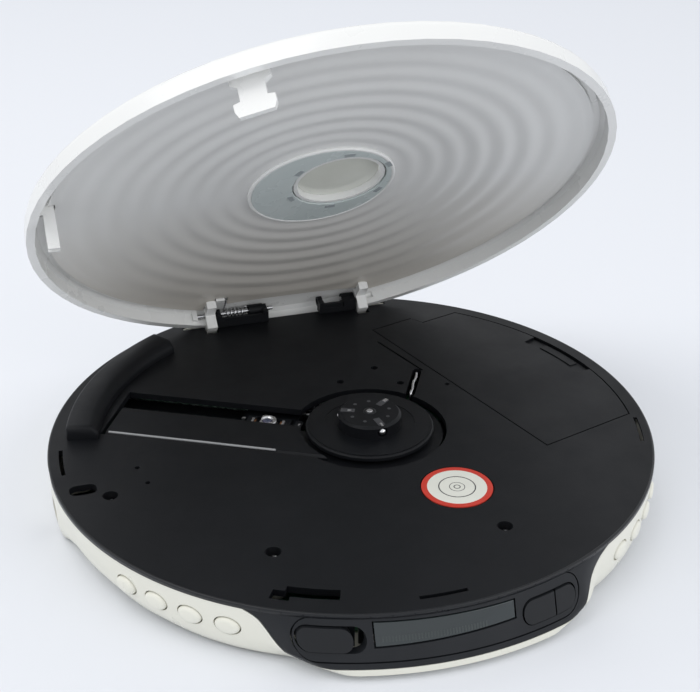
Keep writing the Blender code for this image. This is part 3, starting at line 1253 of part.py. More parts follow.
def spring_points():
    """A leg against the lid, the coil round the pin, and a tail along the pin."""
    points = []
    total = SPRING_TURNS * SPRING_POINTS
    leg_top = Vector((SPRING_START, HINGE_Y - SPRING_LEG, HINGE_Z + SPRING_RADIUS))
    leg_root = Vector((SPRING_START, HINGE_Y - SPRING_RADIUS * 0.35, HINGE_Z + SPRING_RADIUS))
    points += [leg_top, leg_root]
    for step in range(total + 1):
        turn = math.pi / 2 - 2 * math.pi * step / SPRING_POINTS
        x = SPRING_START + SPRING_PITCH * step / SPRING_POINTS
        points.append(Vector((x, HINGE_Y + SPRING_RADIUS * math.cos(turn), HINGE_Z + SPRING_RADIUS * math.sin(turn))))
    last = points[-1]
    points.append(last + Vector((SPRING_TAIL, 0.0, 0.0)))
    return points


def least_gap(points, wire, apart):
    """Smallest clearance of a wire to itself, between stretches that aren't neighbours."""
    least = math.inf
    for first in range(len(points)):
        for second in range(first + apart, len(points)):
            least = min(least, (points[first] - points[second]).length)
    return least - 2 * wire


def make_spring():
    points = spring_points()
    gap = least_gap(points, SPRING_WIRE, SPRING_POINTS - 2)
    print(f"hinge_spring: least gap to itself {gap * 1000:.2f} mm")
    return tube("hinge_spring", points, SPRING_WIRE, "steel")


# Lid, in its closed place

def lid_outer(radius):
    """Height of the lid's outer face above the deck."""
    edge = LID_RADIUS - LID_FILLET
    return LID_CROWN - (LID_CROWN - LID_SHOULDER) * (radius / edge) ** 2


def lid_profile():
    base = DECK_HEIGHT
    edge = LID_RADIUS - LID_FILLET
    inner = LID_RADIUS - LID_WALL
    outer = [(LID_RADIUS, base + LID_RIM), (LID_RADIUS, base + LID_WALL_TOP)]
    for turn in (30, 60):
        out = edge + LID_FILLET * math.cos(math.radians(turn))
        rise = LID_WALL_TOP + (LID_SHOULDER - LID_WALL_TOP) * math.sin(math.radians(turn))
        outer.append((out, base + rise))
    shares = (1.0, 0.75, 0.5, 0.25, 0.0)
    outer += [(edge * share, base + lid_outer(edge * share)) for share in shares]
    under = [(edge * share, base + lid_outer(edge * share) - LID_SKIN) for share in reversed(shares[1:])]
    knee = inner - LID_INNER_FILLET
    under += [(knee, base + lid_outer(knee) - LID_SKIN), (inner, base + lid_outer(knee) - LID_SKIN - LID_INNER_FILLET),
              (inner, base + LID_RIM)]
    return outer + under


def make_lid_shell():
    lid = lathe("lid_shell", lid_profile(), ROUND, finish="white_gloss")
    centre = (TURNTABLE_X, TURNTABLE_Y)
    base = DECK_HEIGHT
    inside = base + LID_CROWN - LID_SKIN / 2
    collar = drum("collar", LID_WINDOW_RADIUS + GAP + COLLAR_WALL, base + INSERT_PLATE_RISE + GAP, inside, centre, MEDIUM - 8)
    fuse(lid, collar)
    cut(lid, drum("window_room", LID_WINDOW_RADIUS + GAP, base + GAP, base + LID_CROWN + OVERRUN, centre, MEDIUM - 8))
    wall_inside = LID_RADIUS - LID_WALL / 2
    ear_top = base + LID_SHOULDER - LID_SKIN / 2
    for side in (-1, 1):
        middle = side * EAR_X
        half = EAR_WIDTH / 2
        ear_back = math.sqrt(wall_inside ** 2 - (EAR_X + half) ** 2)
        upper = block("ear", (middle - half, HINGE_Y - EAR_HALF_DEPTH, HINGE_Z - PIN_RADIUS), (middle + half, ear_back, ear_top))
        lower = block("finger", (middle - half, HINGE_Y - EAR_HALF_DEPTH, HINGE_Z - EAR_DROP),
                      (middle + half, HINGE_Y + EAR_HALF_DEPTH, HINGE_Z))
        fuse(lid, upper, lower)
    boss_end = PIN_LEFT_START - GAP
    boss_back = math.sqrt(wall_inside ** 2 - PIN_LEFT_START ** 2)
    boss = block("pin_boss", (boss_end, HINGE_Y - PIN_RADIUS * 2, HINGE_Z - PIN_RADIUS * 2.2),
                 (boss_end + EAR_WIDTH / 2, boss_back, ear_top - GAP))
    fuse(lid, boss)
    cut(lid, rod_along_x("bore", PIN_RADIUS + GAP, PIN_LEFT_START - GAP / 2, PIN_RIGHT_END + OVERRUN, HINGE_Y, HINGE_Z, TINY))
    tab_top = base + lid_outer(HINGE_Y - TAB_REACH) - LID_SKIN / 2
    tab = block("spring_tab", (SPRING_START - GAP - SPRING_WIRE - TAB_WIDTH, HINGE_Y - TAB_REACH - TAB_LENGTH, HINGE_Z + SPRING_RADIUS - GAP),
                (SPRING_START - GAP - SPRING_WIRE, HINGE_Y - TAB_REACH, tab_top))
    fuse(lid, tab)
    fuse(lid, make_hook())
    for side in (-1, 1):
        y = SIDE_HOOK_Y + side * SIDE_HOOK_SPACING / 2
        fin = block("side_hook", (SIDE_HOOK_X, y - SIDE_HOOK_FIN / 2, base - SIDE_HOOK_DROP),
                    (SIDE_HOOK_X + SIDE_HOOK_LENGTH, y + SIDE_HOOK_FIN / 2, base + LID_SHOULDER - LID_SKIN / 2))
        reach = -math.sqrt(wall_inside ** 2 - y ** 2)
        web = block("web", (reach, y - SIDE_HOOK_FIN / 2, base + LID_RIM + LID_WALL_TOP / 2),
                    (SIDE_HOOK_X + SIDE_HOOK_LENGTH / 2, y + SIDE_HOOK_FIN / 2, base + LID_SHOULDER - LID_SKIN / 2))
        fuse(fin, web)
        fuse(lid, fin)
    return lid


def make_hook():
    """The catch that hangs from the front rim: a waist and a wide foot."""
    base = DECK_HEIGHT
    thickness = HOOK_THICKNESS / 2
    levels = ((LID_SHOULDER - LID_SKIN / 2, HOOK_HALF_WIDTH), (LID_RIM, HOOK_HALF_WIDTH),
              (-HOOK_THICKNESS / 2, HOOK_NECK_HALF_WIDTH), (-HOOK_NECK_DROP, HOOK_NECK_HALF_WIDTH),
              (-HOOK_NECK_DROP - GAP, HOOK_HALF_WIDTH), (-HOOK_SHOULDER_DROP, HOOK_HALF_WIDTH),
              (-HOOK_DROP, HOOK_TIP_HALF_WIDTH))
    rings = []
    for height, half in levels:
        rings.append([Vector((-half, -HOOK_RADIUS - thickness, base + height)),
                      Vector((half, -HOOK_RADIUS - thickness, base + height)),
                      Vector((half, -HOOK_RADIUS + thickness, base + height)),
                      Vector((-half, -HOOK_RADIUS + thickness, base + height))])
    hook = loft("hook", rings)
    root = block("root", (-HOOK_HALF_WIDTH, -(LID_RADIUS - LID_WALL / 2), base + LID_WALL_TOP / 2),
                 (HOOK_HALF_WIDTH, -HOOK_RADIUS, base + LID_SHOULDER - LID_SKIN / 2))
    fuse(hook, root)
    return move_mesh(hook, Matrix.Rotation(math.radians(HOOK_PHI_DEG), 4, "Z"))


def liner_under(radius):
    """Underside of the liner, with round ripples that fade towards the rim."""
    plain = lid_outer(radius) - LID_SKIN - GAP - LINER_THICKNESS - RIPPLE_HEIGHT
    span = RIPPLE_COUNT * RIPPLE_PITCH
    share = (radius - RIPPLE_INNER) / span
    if share < 0.0 or share > 1.0:
        return plain + RIPPLE_HEIGHT
    return plain + RIPPLE_HEIGHT * math.cos(2 * math.pi * share * RIPPLE_COUNT)


def make_liner():
    base = DECK_HEIGHT
    top = [(LINER_RADIUS * share, base + lid_outer(LINER_RADIUS * share) - LID_SKIN - GAP)
           for share in (0.0, 0.25, 0.5, 0.75, 1.0)]
    count = RIPPLE_COUNT * RIPPLE_STEPS
    radii = [RIPPLE_INNER + RIPPLE_PITCH * step / RIPPLE_STEPS for step in range(count + 1)]
    under = [(LINER_RADIUS, base + liner_under(LINER_RADIUS))]
    under += [(radius, base + liner_under(radius)) for radius in reversed(radii)]
    under += [(0.0, base + liner_under(0.0))]
    liner = lathe("lid_liner", top + under, MEDIUM, finish="liner_white")
    centre = (TURNTABLE_X, TURNTABLE_Y)
    cut(liner, drum("window_room", LID_WINDOW_RADIUS + COLLAR_WALL + 2 * GAP, base, base + LID_CROWN + OVERRUN, centre, MEDIUM - 8))
    reach = EAR_X + EAR_WIDTH / 2 + GAP
    front = HINGE_Y - TAB_REACH - TAB_LENGTH - GAP
    cut(liner, block("hinge_room", (-reach, front, base), (reach, DECK_RADIUS, base + LID_CROWN)))
    hook_room = block("hook_room", (-HOOK_HALF_WIDTH - GAP, -DECK_RADIUS, base), (HOOK_HALF_WIDTH + GAP, -HOOK_RADIUS + HOOK_THICKNESS,
                      base + LID_CROWN))
    cut(liner, move_mesh(hook_room, Matrix.Rotation(math.radians(HOOK_PHI_DEG), 4, "Z")))
    half = SIDE_HOOK_SPACING / 2 + SIDE_HOOK_FIN / 2 + GAP
    cut(liner, block("side_room", (-DECK_RADIUS, SIDE_HOOK_Y - half, base), (SIDE_HOOK_X + SIDE_HOOK_LENGTH + GAP,
                     SIDE_HOOK_Y + half, base + LID_CROWN)))
    return liner


def make_insert_plate():
    bottom = DECK_HEIGHT + INSERT_PLATE_RISE
    plate = drum("lid_insert_plate", INSERT_PLATE_RADIUS, bottom, bottom + INSERT_PLATE_THICKNESS, steps=MEDIUM, finish="tinted_clear")
    room = LID_WINDOW_RADIUS + COLLAR_WALL + 2 * GAP
    return cut(plate, drum("window_room", room, bottom - OVERRUN, bottom + OVERRUN, (TURNTABLE_X, TURNTABLE_Y), MEDIUM - 8))


def make_lid_window():
    top = DECK_HEIGHT + lid_outer(TURNTABLE_X)
    return drum("lid_window", LID_WINDOW_RADIUS, top - LID_SKIN, top, (TURNTABLE_X, TURNTABLE_Y), MEDIUM - 8, "tinted_clear")


def build():
    for old in list(bpy.data.objects):
        bpy.data.objects.remove(old, do_unlink=True)
    make_bottom_shell()
    make_deck()
    make_fascia()
    make_display()
    make_open_slider()
    make_front_keys()
    make_side_keys()
    make_guard()
    make_turntable()
    make_balls()
    make_spindle_motor()
    make_chassis()
    make_rod()
    make_lead_screw()
    make_feed_motor()
    make_sled()
    make_lens()
    make_shield()
    make_board()
    make_socket("headphone_jack", JACK_PHI_DEG, JACK_BORE, JACK_LENGTH * 0.9, None)
    make_socket("power_jack", POWER_PHI_DEG, POWER_BORE, POWER_DEPTH, POWER_PIN)
    make_feet()
    make_screws()
    make_switch()
    make_label()
    make_wire_spring()
    make_tray()
    make_cell()
    make_contacts()
    make_brackets()
    cover_pivot = empty("cover_pivot", BAY_FRAME @ Matrix.Translation((0.0, COVER_HINGE_INSET, COVER_HINGE_Z)))
    hold(make_cover(), cover_pivot)
    lid_pivot = empty("lid_pivot", Matrix.Translation((0.0, HINGE_Y, HINGE_Z)))
    for piece in (make_lid_shell(), make_liner(), make_insert_plate(), make_lid_window(), *make_pins()):
        hold(piece, lid_pivot)
    spring = make_spring()
    spring.parent = lid_pivot
    spring.location = (0.0, -HINGE_Y, -HINGE_Z)
    lid_pivot.rotation_euler = (-math.radians(LID_OPEN_DEG), 0.0, 0.0)
    bpy.context.view_layer.update()


build()
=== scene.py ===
import json
import math

import bmesh
import bpy
from mathutils import Matrix, Vector


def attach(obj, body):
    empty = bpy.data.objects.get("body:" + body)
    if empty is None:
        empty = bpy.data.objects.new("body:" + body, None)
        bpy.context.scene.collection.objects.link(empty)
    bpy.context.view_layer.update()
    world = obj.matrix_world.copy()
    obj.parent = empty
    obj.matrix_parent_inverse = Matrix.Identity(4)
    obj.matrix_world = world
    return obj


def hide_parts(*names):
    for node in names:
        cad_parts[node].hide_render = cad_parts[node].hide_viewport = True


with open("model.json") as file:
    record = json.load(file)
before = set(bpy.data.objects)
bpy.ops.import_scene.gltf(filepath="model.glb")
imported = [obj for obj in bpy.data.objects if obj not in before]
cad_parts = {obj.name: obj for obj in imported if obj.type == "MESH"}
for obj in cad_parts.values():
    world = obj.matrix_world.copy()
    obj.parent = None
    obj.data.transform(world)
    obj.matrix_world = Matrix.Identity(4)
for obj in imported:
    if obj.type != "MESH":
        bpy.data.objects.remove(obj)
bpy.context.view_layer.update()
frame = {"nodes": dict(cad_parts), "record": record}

MM = 0.001
NODES = frame["nodes"]

# The deck, as in the CAD model
DECK_RADIUS = 68.0 * MM
DECK_HEIGHT = 13.0 * MM
RIM_WIDTH = 0.5 * MM
NOTCH_INNER = 66.7 * MM

# The turntable and its balls
TURNTABLE = Vector((3.8 * MM, -2.0 * MM, 0.0))
HUB_TOP = 17.1 * MM
PLATTER_TOP = 13.9 * MM
BALL_RADIUS = 0.9 * MM
BALL_FIRST = -83.0
BALL_REACH = 6.6 * MM

# The pickup; its lens and ring stand higher here than in the CAD model
SLED_DEG = 151.5
LENS_REACH = 24.1 * MM
SLED_TOP = 10.1 * MM
CARRIER_TOP = 11.3 * MM
LENS_LOW = 9.6 * MM
LENS_TOP = 12.1 * MM
LENS_RING = 2.4 * MM
LENS_SIZE = 1.1 * MM
LENS_FLAT = 1.42 * MM

# The hinge
HINGE_Y = 59.8 * MM
HINGE_Z = 15.6 * MM
LID_OPEN = math.radians(48.2)
PIN_BORE = 0.9 * MM
SLEEVE_RADIUS = 1.5 * MM
COIL_RADIUS = 1.2 * MM
COIL_TURNS = 5
COIL_PITCH = 0.98 * MM

# The lid, with its heights over the deck when it is closed
LID_CROWN = 8.9 * MM
LID_SHOULDER = 5.2 * MM
LID_EDGE = 64.1 * MM
LINER_RADIUS = 62.0 * MM
LINER_TOP_DROP = 1.4 * MM
LINER_UNDER_DROP = 1.95 * MM
WINDOW_RADIUS = 9.5 * MM
HOOK_DEG = -23.8
LINER_WAVES = 8.5
WAVE_HEIGHT = 0.30 * MM
WAVES_START = 15.0 * MM
PLATE_RIM_INNER = 16.15 * MM
PLATE_RIM_OUTER = 17.0 * MM
PLATE_HEIGHT = DECK_HEIGHT + 5.95 * MM

# The sticker and the guard on the deck
LABEL_PLACE = (14.0 * MM, -30.9 * MM)
LABEL_RADIUS = 7.6 * MM
LABEL_FIELD_RADIUS = 6.35 * MM
GUARD_START_DEG = -145.4
GUARD_SPAN_DEG = 44.0
GUARD_TIPS_DEG = (-146.0, -100.8)
GUARD_RISE = 3.2 * MM
GUARD_INNER = 56.8 * MM
GUARD_OUTER = 64.0 * MM

# The product's own box
BOX_SIDE = 67.9 * MM
BOX_BACK = 67.49 * MM

# Outside of the body: how far it draws in with depth and round the circle, and how far the nose stands out
NOSE_REACH = 3.4 * MM
DEPTH_SHARES = (0.0, 0.35, 0.65, 0.80, 0.90, 0.9615)
TUCK = 8.5 * MM
TUCK_SHARES = (0.025, 0.058, 0.13, 0.32, 0.60, 1.0)
TUCK_DEG = (0.0, 36.0, 42.0, 55.0, 65.0, 75.5, 84.0, 98.0, 124.0, 133.0, 180.0)
TUCK_ROUND_SHARES = (0.30, 0.30, 0.34, 0.54, 0.90, 1.0, 0.12, 0.10, 0.12, 0.80, 0.85)
NOSE_SHARES = (-0.12, 0.38, 0.82, 0.925, 0.925, 0.50)
NOSE_LEVEL_SHARES = (0.0, 0.68, 0.80, 0.90, 0.9615)
NOSE_FLAT_DEG = (23.0, 22.5, 19.0, 16.0, 13.5)
NOSE_END_DEG = (31.5, 31.0, 29.5, 28.0, 26.5)

# The shell's walls and floor
BODY_WALL = 1.6 * MM
FLOOR_THICKNESS = 1.5 * MM
FLOOR_RISE = 0.5 * MM
LAND_RADIUS = 40.0 * MM
LAND_STEP = 0.8 * MM
SHELL_TOP_DEPTH = 0.9 * MM

# The fascia's outline: half widths at its top, and shares of them at shares of its depth
FASCIA_RIGHT = 38.6 * MM
FASCIA_LEFT = 40.8 * MM
FASCIA_DROP = 10.2 * MM
FASCIA_RIGHT_SHARES = (1.0, 0.93, 0.86, 0.80, 0.765, 0.73, 0.69, 0.64)
FASCIA_LEFT_SHARES = (1.0, 0.935, 0.88, 0.845, 0.812, 0.775, 0.73, 0.67)
FASCIA_DROPS = (0.0, 0.10, 0.25, 0.46, 0.69, 0.86, 0.95, 1.0)
FASCIA_THICKNESS = 1.8 * MM
INSERT_SIDES = (-30.4 * MM, 26.6 * MM, 0.9 * MM, 8.7 * MM)

# Side keys, sockets, feet and screws
KEY_DEG = (37.2, 44.07, 50.94, 57.81)
KEY_DEPTH = 5.9 * MM
KEY_HALF_WIDTH = 2.6 * MM
KEY_HALF_HEIGHT = 1.8 * MM
KEY_PLACE_RADIUS = 67.29 * MM
KEY_CROWN = 1.15 * MM
KEY_FLANGE = 0.7 * MM
SOCKETS = ((-87.4, 5.2 * MM), (112.0, 5.2 * MM))
SOCKET_RADIUS = 3.1 * MM
FOOT_PLACES = ((35.36, 35.36), (-35.36, 35.36), (-35.36, -35.36), (35.36, -35.36))
SCREW_PLACES = ((-28.8, -41.8), (18.2, -47.0), (-56.6, -12.7))
CLEAR = 0.3 * MM

# Stage and camera
FLOOR_COLOUR = (0.745, 0.76, 0.795, 1)
SKY_COLOUR = (0.95, 0.97, 1.0, 1)
SKY_STRENGTH = 0.93
LIGHTS_AIM = (0, 0, 0.03)
IMAGE_WIDTH = 700
FOCAL_PIXELS = 1350
SENSOR = 36.0
CAMERA_AZIMUTH_DEG = -17.013
CAMERA_ELEVATION_DEG = 27.525
CAMERA_DISTANCE = 342.73 * MM
CAMERA_TARGET = (11.21 * MM, 37.40 * MM, DECK_HEIGHT)

LID_FRAME = (Matrix.Translation((0, HINGE_Y, HINGE_Z)) @ Matrix.Rotation(-LID_OPEN, 4, "X")
             @ Matrix.Translation((0, -HINGE_Y, -HINGE_Z)))
SLED_FRAME = Matrix.Translation(TURNTABLE) @ Matrix.Rotation(math.radians(SLED_DEG), 4, "Z")


# Materials

class Shader:
    """A Principled material with a few nodes for its surface."""

    def __init__(self, name, colour, roughness, metallic=0.0, **values):
        self.material = bpy.data.materials.new(name)
        self.material.use_nodes = True
        self.nodes = self.material.node_tree.nodes
        self.links = self.material.node_tree.links
        self.main = self.nodes["Principled BSDF"]
        self.set(Base_Color=(*colour, 1.0), Roughness=roughness, Metallic=metallic, **values)
        self.place = self.nodes.new("ShaderNodeTexCoord").outputs["Object"]

    def set(self, **values):
        for key, value in values.items():
            self.main.inputs[key.replace("_", " ")].default_value = value

    def noise(self, scale, detail=4.0, roughness=0.55, stretch=(1, 1, 1)):
        node = self.nodes.new("ShaderNodeTexNoise")
        node.inputs["Scale"].default_value = scale
        node.inputs["Detail"].default_value = detail
        node.inputs["Roughness"].default_value = roughness
        mapping = self.nodes.new("ShaderNodeMapping")
        mapping.inputs["Scale"].default_value = stretch
        self.links.new(self.place, mapping.inputs["Vector"])
        self.links.new(mapping.outputs["Vector"], node.inputs["Vector"])
        return node.outputs["Fac"]

    def height(self, low, high):
        """0 at a low height on the piece and 1 at a high one, with a little mottling."""
        split = self.nodes.new("ShaderNodeSeparateXYZ")
        self.links.new(self.place, split.inputs[0])
        rise = self.ramp(split.outputs[2], 0.0, 1.0, low, high)
        mottle = self.ramp(self.noise(14, 3), -0.06, 0.06)
        total = self.nodes.new("ShaderNodeMath")
        total.operation = "ADD"
        total.use_clamp = True
        self.links.new(rise, total.inputs[0])
        self.links.new(mottle, total.inputs[1])
        return total.outputs[0]

    def ramp(self, value, low, high, start=0.35, end=0.65):
        node = self.nodes.new("ShaderNodeMapRange")
        node.inputs["From Min"].default_value = start
        node.inputs["From Max"].default_value = end
        node.inputs["To Min"].default_value = low
        node.inputs["To Max"].default_value = high
        self.links.new(value, node.inputs["Value"])
        return node.outputs["Result"]

    def rough(self, value, low, high, start=0.35, end=0.65):
        self.links.new(self.ramp(value, low, high, start, end), self.main.inputs["Roughness"])
        return self

    def tint(self, value, first, second, start=0.35, end=0.65):
        node = self.nodes.new("ShaderNodeMix")
        node.data_type = "RGBA"
        node.inputs[6].default_value = (*first, 1.0)
        node.inputs[7].default_value = (*second, 1.0)
        self.links.new(self.ramp(value, 0.0, 1.0, start, end), node.inputs[0])
        self.links.new(node.outputs[2], self.main.inputs["Base Color"])
        return self

    def bump(self, value, depth, strength=1.0):
        node = self.nodes.new("ShaderNodeBump")
        node.inputs["Distance"].default_value = depth
        node.inputs["Strength"].default_value = strength
        self.links.new(value, node.inputs["Height"])
        self.links.new(node.outputs["Normal"], self.main.inputs["Normal"])
        return self


def make_materials():
    """Every look of the product by name."""
    made = {}

    def add(name, *args, **values):
        made[name] = Shader(name, *args, **values)
        return made[name]

    white = add("shell_white", (0.79, 0.78, 0.69), 0.30, Coat_Weight=0.2, Coat_Roughness=0.15)
    white.rough(white.noise(90, 5), 0.26, 0.36)
    white.tint(white.noise(22, 3), (0.78, 0.77, 0.68), (0.805, 0.795, 0.708))

    lid = add("lid_white", (0.80, 0.80, 0.785), 0.28, Coat_Weight=0.25, Coat_Roughness=0.12)
    lid.rough(lid.noise(70, 5), 0.24, 0.34)
    lid.tint(lid.noise(18, 3), (0.79, 0.79, 0.772), (0.815, 0.815, 0.80))

    liner = add("liner_silver", (0.80, 0.80, 0.78), 0.36)
    liner.rough(liner.noise(60, 5), 0.30, 0.44)
    # Painted shade: the liner's colour runs darker and warmer towards its low end by the hinge, where less
    # light reaches it.
    liner.tint(liner.height(0.015, 0.062), (0.54, 0.50, 0.44), (0.735, 0.735, 0.72), 0.0, 1.0)
    liner.bump(liner.noise(1400, 2), 0.008 * MM, 0.3)

    deck = add("deck_black", (0.0060, 0.0066, 0.0080), 0.46, Specular_IOR_Level=0.17)
    deck.rough(deck.noise(45, 6, 0.65), 0.40, 0.54)
    deck.tint(deck.noise(30, 6, 0.7), (0.0042, 0.0047, 0.0060), (0.0068, 0.0074, 0.0090))
    deck.bump(deck.noise(2600, 2), 0.008 * MM, 0.5)

    rim = add("rim_satin", (0.008, 0.009, 0.011), 0.30, Specular_IOR_Level=0.35)
    rim.rough(rim.noise(60, 4), 0.26, 0.36)

    # Painted highlight: a pale grey for the tube along the shield's edge.
    edge = add("painted_highlight_grey", (0.30, 0.305, 0.31), 0.24)
    edge.rough(edge.noise(150, 4), 0.18, 0.34)

    fascia = add("fascia_grey", (0.015, 0.0165, 0.0190), 0.38, Specular_IOR_Level=0.26)
    fascia.rough(fascia.noise(80, 5, 0.6), 0.33, 0.45)
    fascia.tint(fascia.noise(50, 5, 0.6), (0.0105, 0.0118, 0.0142), (0.0145, 0.0158, 0.0184))
    fascia.bump(fascia.noise(2600, 2), 0.006 * MM, 0.4)

    key = add("key_black", (0.010, 0.011, 0.013), 0.34, Specular_IOR_Level=0.28)
    key.rough(key.noise(80, 5, 0.6), 0.29, 0.41)

    glass = add("window_smoke", (0.021, 0.028, 0.030), 0.16, Coat_Weight=0.25, Coat_Roughness=0.06)
    glass.rough(glass.noise(120, 4), 0.12, 0.24)
    segment = add("segment_grey", (0.036, 0.045, 0.045), 0.30)
    segment.rough(segment.noise(200, 3), 0.25, 0.38)

    clear = add("lid_tint", (0.58, 0.64, 0.63), 0.24, Coat_Weight=0.3, Coat_Roughness=0.10)
    clear.rough(clear.noise(100, 4), 0.20, 0.32)
    clear.tint(clear.noise(40, 3), (0.55, 0.61, 0.60), (0.61, 0.66, 0.65))
    pane = add("window_tint", (0.72, 0.73, 0.66), 0.20, Coat_Weight=0.2, Coat_Roughness=0.06)
    pane.tint(pane.noise(60, 3), (0.68, 0.69, 0.62), (0.76, 0.77, 0.70))
    pane.rough(pane.noise(100, 4), 0.14, 0.26)
    clip = add("clip_grey", (0.34, 0.37, 0.38), 0.28)
    clip.rough(clip.noise(90, 3), 0.24, 0.36)

    steel = add("bright_steel", (0.62, 0.62, 0.63), 0.22, 1.0)
    steel.rough(steel.noise(700, 4, 0.6, (1, 1, 6)), 0.16, 0.34)
    chrome = add("ball_chrome", (0.78, 0.78, 0.79), 0.08, 1.0)
    chrome.rough(chrome.noise(300, 3), 0.06, 0.13)

    brass = add("plain_brass", (0.62, 0.47, 0.22), 0.34, 1.0)
    brass.rough(brass.noise(400, 4), 0.28, 0.45)
    copper = add("coil_copper", (0.55, 0.27, 0.13), 0.35, 1.0)
    copper.bump(copper.noise(4000, 2, 0.5, (1, 1, 20)), 0.02 * MM, 0.6)

    board = add("board_green", (0.03, 0.12, 0.06), 0.42)
    board.tint(board.noise(260, 5), (0.025, 0.10, 0.05), (0.05, 0.16, 0.08))
    board.rough(board.noise(400, 3), 0.32, 0.5)

    rubber = add("foot_rubber", (0.022, 0.022, 0.022), 0.78)
    rubber.bump(rubber.noise(1800, 4), 0.03 * MM, 0.6)
    rubber.rough(rubber.noise(200, 3), 0.68, 0.88)

    cell = add("cell_sleeve", (0.22, 0.28, 0.38), 0.30, 0.3)
    cell.rough(cell.noise(90, 4), 0.24, 0.40)
    cell.bump(cell.noise(300, 3), 0.03 * MM, 0.3)

    red = add("print_red", (0.56, 0.035, 0.018), 0.48)
    red.rough(red.noise(200, 3), 0.42, 0.55)
    cream = add("print_cream", (0.74, 0.74, 0.67), 0.48)
    cream.rough(cream.noise(200, 3), 0.42, 0.55)
    ink = add("print_ink_and_painted_shade", (0.05, 0.05, 0.055), 0.5)
    ink.rough(ink.noise(200, 3), 0.45, 0.58)
    lens = add("lens_glass", (0.05, 0.06, 0.10), 0.04, Coat_Weight=1.0, Coat_Roughness=0.03)
    lens.tint(lens.noise(500, 2), (0.04, 0.05, 0.09), (0.07, 0.06, 0.12))
    return {name: shader.material for name, shader in made.items()}


SLOT_LOOKS = {"white_gloss": "shell_white", "liner_white": "liner_silver", "deck_black": "deck_black",
              "fascia_grey": "fascia_grey", "display_glass": "window_smoke", "tinted_clear": "lid_tint",
              "steel": "bright_steel", "brass": "plain_brass", "board_green": "board_green",
              "rubber": "foot_rubber", "label": "print_cream", "cell_wrap": "cell_sleeve"}
NODE_LOOKS = {"lid_shell": "lid_white", "lid_window": "window_tint", "front_key_left": "key_black",
              "front_key_right": "key_black", "open_slider": "key_black"}
LOOKS = make_materials()
SOFT_EDGE = {"bottom_shell": 0.25, "lid_shell": 0.3, "disc_guard": 0.5, "turntable": 0.22,
             "battery_cover": 0.14, "deck_plate": 0.12, "shield_plate": 0.22, "front_fascia": 0.12,
             "open_slider": 0.35, "hinge_bracket_left": 0.2, "hinge_bracket_right": 0.2, "battery_cell": 0.4}
PLAIN_EDGE = 0.12


def dress_nodes():
    """Finishes, softened edges and smooth shading for the CAD nodes that stay in view."""
    for entry in frame["record"]["subparts"]:
        name = entry["node"]
        node = NODES[name]
        look = NODE_LOOKS.get(name, SLOT_LOOKS[entry["material_slot"]])
        node.data.materials.clear()
        node.data.materials.append(LOOKS[look])
        soften(node, SOFT_EDGE.get(name, PLAIN_EDGE) * MM)


def soften(thing, width, segments=2):
    """Weld, round the sharp edges and lean the normals towards the large faces."""
    weld = thing.modifiers.new("weld", "WELD")
    weld.merge_threshold = 0.002 * MM
    flat = thing.modifiers.new("flat", "DECIMATE")
    flat.decimate_type = "DISSOLVE"
    flat.angle_limit = math.radians(0.4)
    edge = thing.modifiers.new("edge", "BEVEL")
    edge.width = width
    edge.segments = segments
    edge.limit_method = "ANGLE"
    edge.angle_limit = math.radians(34)
    thing.data.shade_smooth()
    normals = thing.modifiers.new("normals", "WEIGHTED_NORMAL")
    normals.weight = 80
    normals.keep_sharp = True


# Modelling helpers

def link(name, mesh, look, body, *replaced, smooth=True):
    """Add a piece that rides on a body, in place of any CAD nodes named after it."""
    thing = bpy.data.objects.new(name, mesh)
    bpy.context.scene.collection.objects.link(thing)
    thing.data.materials.append(LOOKS[look])
    if smooth:
        thing.data.shade_smooth()
    if replaced:
        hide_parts(*replaced)
    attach(thing, body)
    return thing


def mesh_from(shape, matrix=None):
    """A clean mesh with outward faces, from a bmesh."""
    bmesh.ops.remove_doubles(shape, verts=shape.verts, dist=0.0005 * MM)
    bmesh.ops.recalc_face_normals(shape, faces=shape.faces)
    mesh = bpy.data.meshes.new("shape")
    shape.to_mesh(mesh)
    shape.free()
    if matrix is not None:
        mesh.transform(matrix)
    return mesh


def lathe(profile, steps=96, closed=True, matrix=None):
    """Spin (radius, height) points about an upright axis."""
    shape = bmesh.new()
    verts = [shape.verts.new((radius, 0, height)) for radius, height in profile]
    count = len(verts) if closed else len(verts) - 1
    edges = [shape.edges.new((verts[i], verts[(i + 1) % len(verts)])) for i in range(count)]
    bmesh.ops.spin(shape, geom=verts + edges, cent=(0, 0, 0), axis=(0, 0, 1), angle=2 * math.pi,
                   steps=steps, use_duplicate=False)
    bmesh.ops.remove_doubles(shape, verts=shape.verts, dist=0.0005 * MM)
    bmesh.ops.delete(shape, geom=[edge for edge in shape.edges if not edge.link_faces], context="EDGES")
    return mesh_from(shape, matrix)


def prism(outline, bottom, top, matrix=None, bevel=0.0):
    """An upright body from an outline of (x, y) points."""
    shape = bmesh.new()
    face = shape.faces.new([shape.verts.new((x, y, bottom)) for x, y in outline])
    grown = bmesh.ops.extrude_face_region(shape, geom=[face])
    raised = [item for item in grown["geom"] if isinstance(item, bmesh.types.BMVert)]
    bmesh.ops.translate(shape, verts=raised, vec=(0, 0, top - bottom))
    if bevel:
        rim = [edge for edge in shape.edges if all(vert.co.z > (bottom + top) / 2 for vert in edge.verts)]
        bmesh.ops.bevel(shape, geom=rim, offset=bevel, segments=2, affect="EDGES")
    return mesh_from(shape, matrix)


def box(low, high, matrix=None, bevel=0.0):
    """A block between two corners, with softened upper edges if a bevel is given."""
    outline = [(low[0], low[1]), (high[0], low[1]), (high[0], high[1]), (low[0], high[1])]
    return prism(outline, low[2], high[2], matrix, bevel)


def circle(radius, steps=32, centre=(0, 0), start=0.0, sweep=360.0):
    """Points round a circle, or along an arc of it."""
    count = steps if sweep == 360 else steps + 1
    turns = [math.radians(start + sweep * step / steps) for step in range(count)]
    return [(centre[0] + radius * math.cos(turn), centre[1] + radius * math.sin(turn)) for turn in turns]


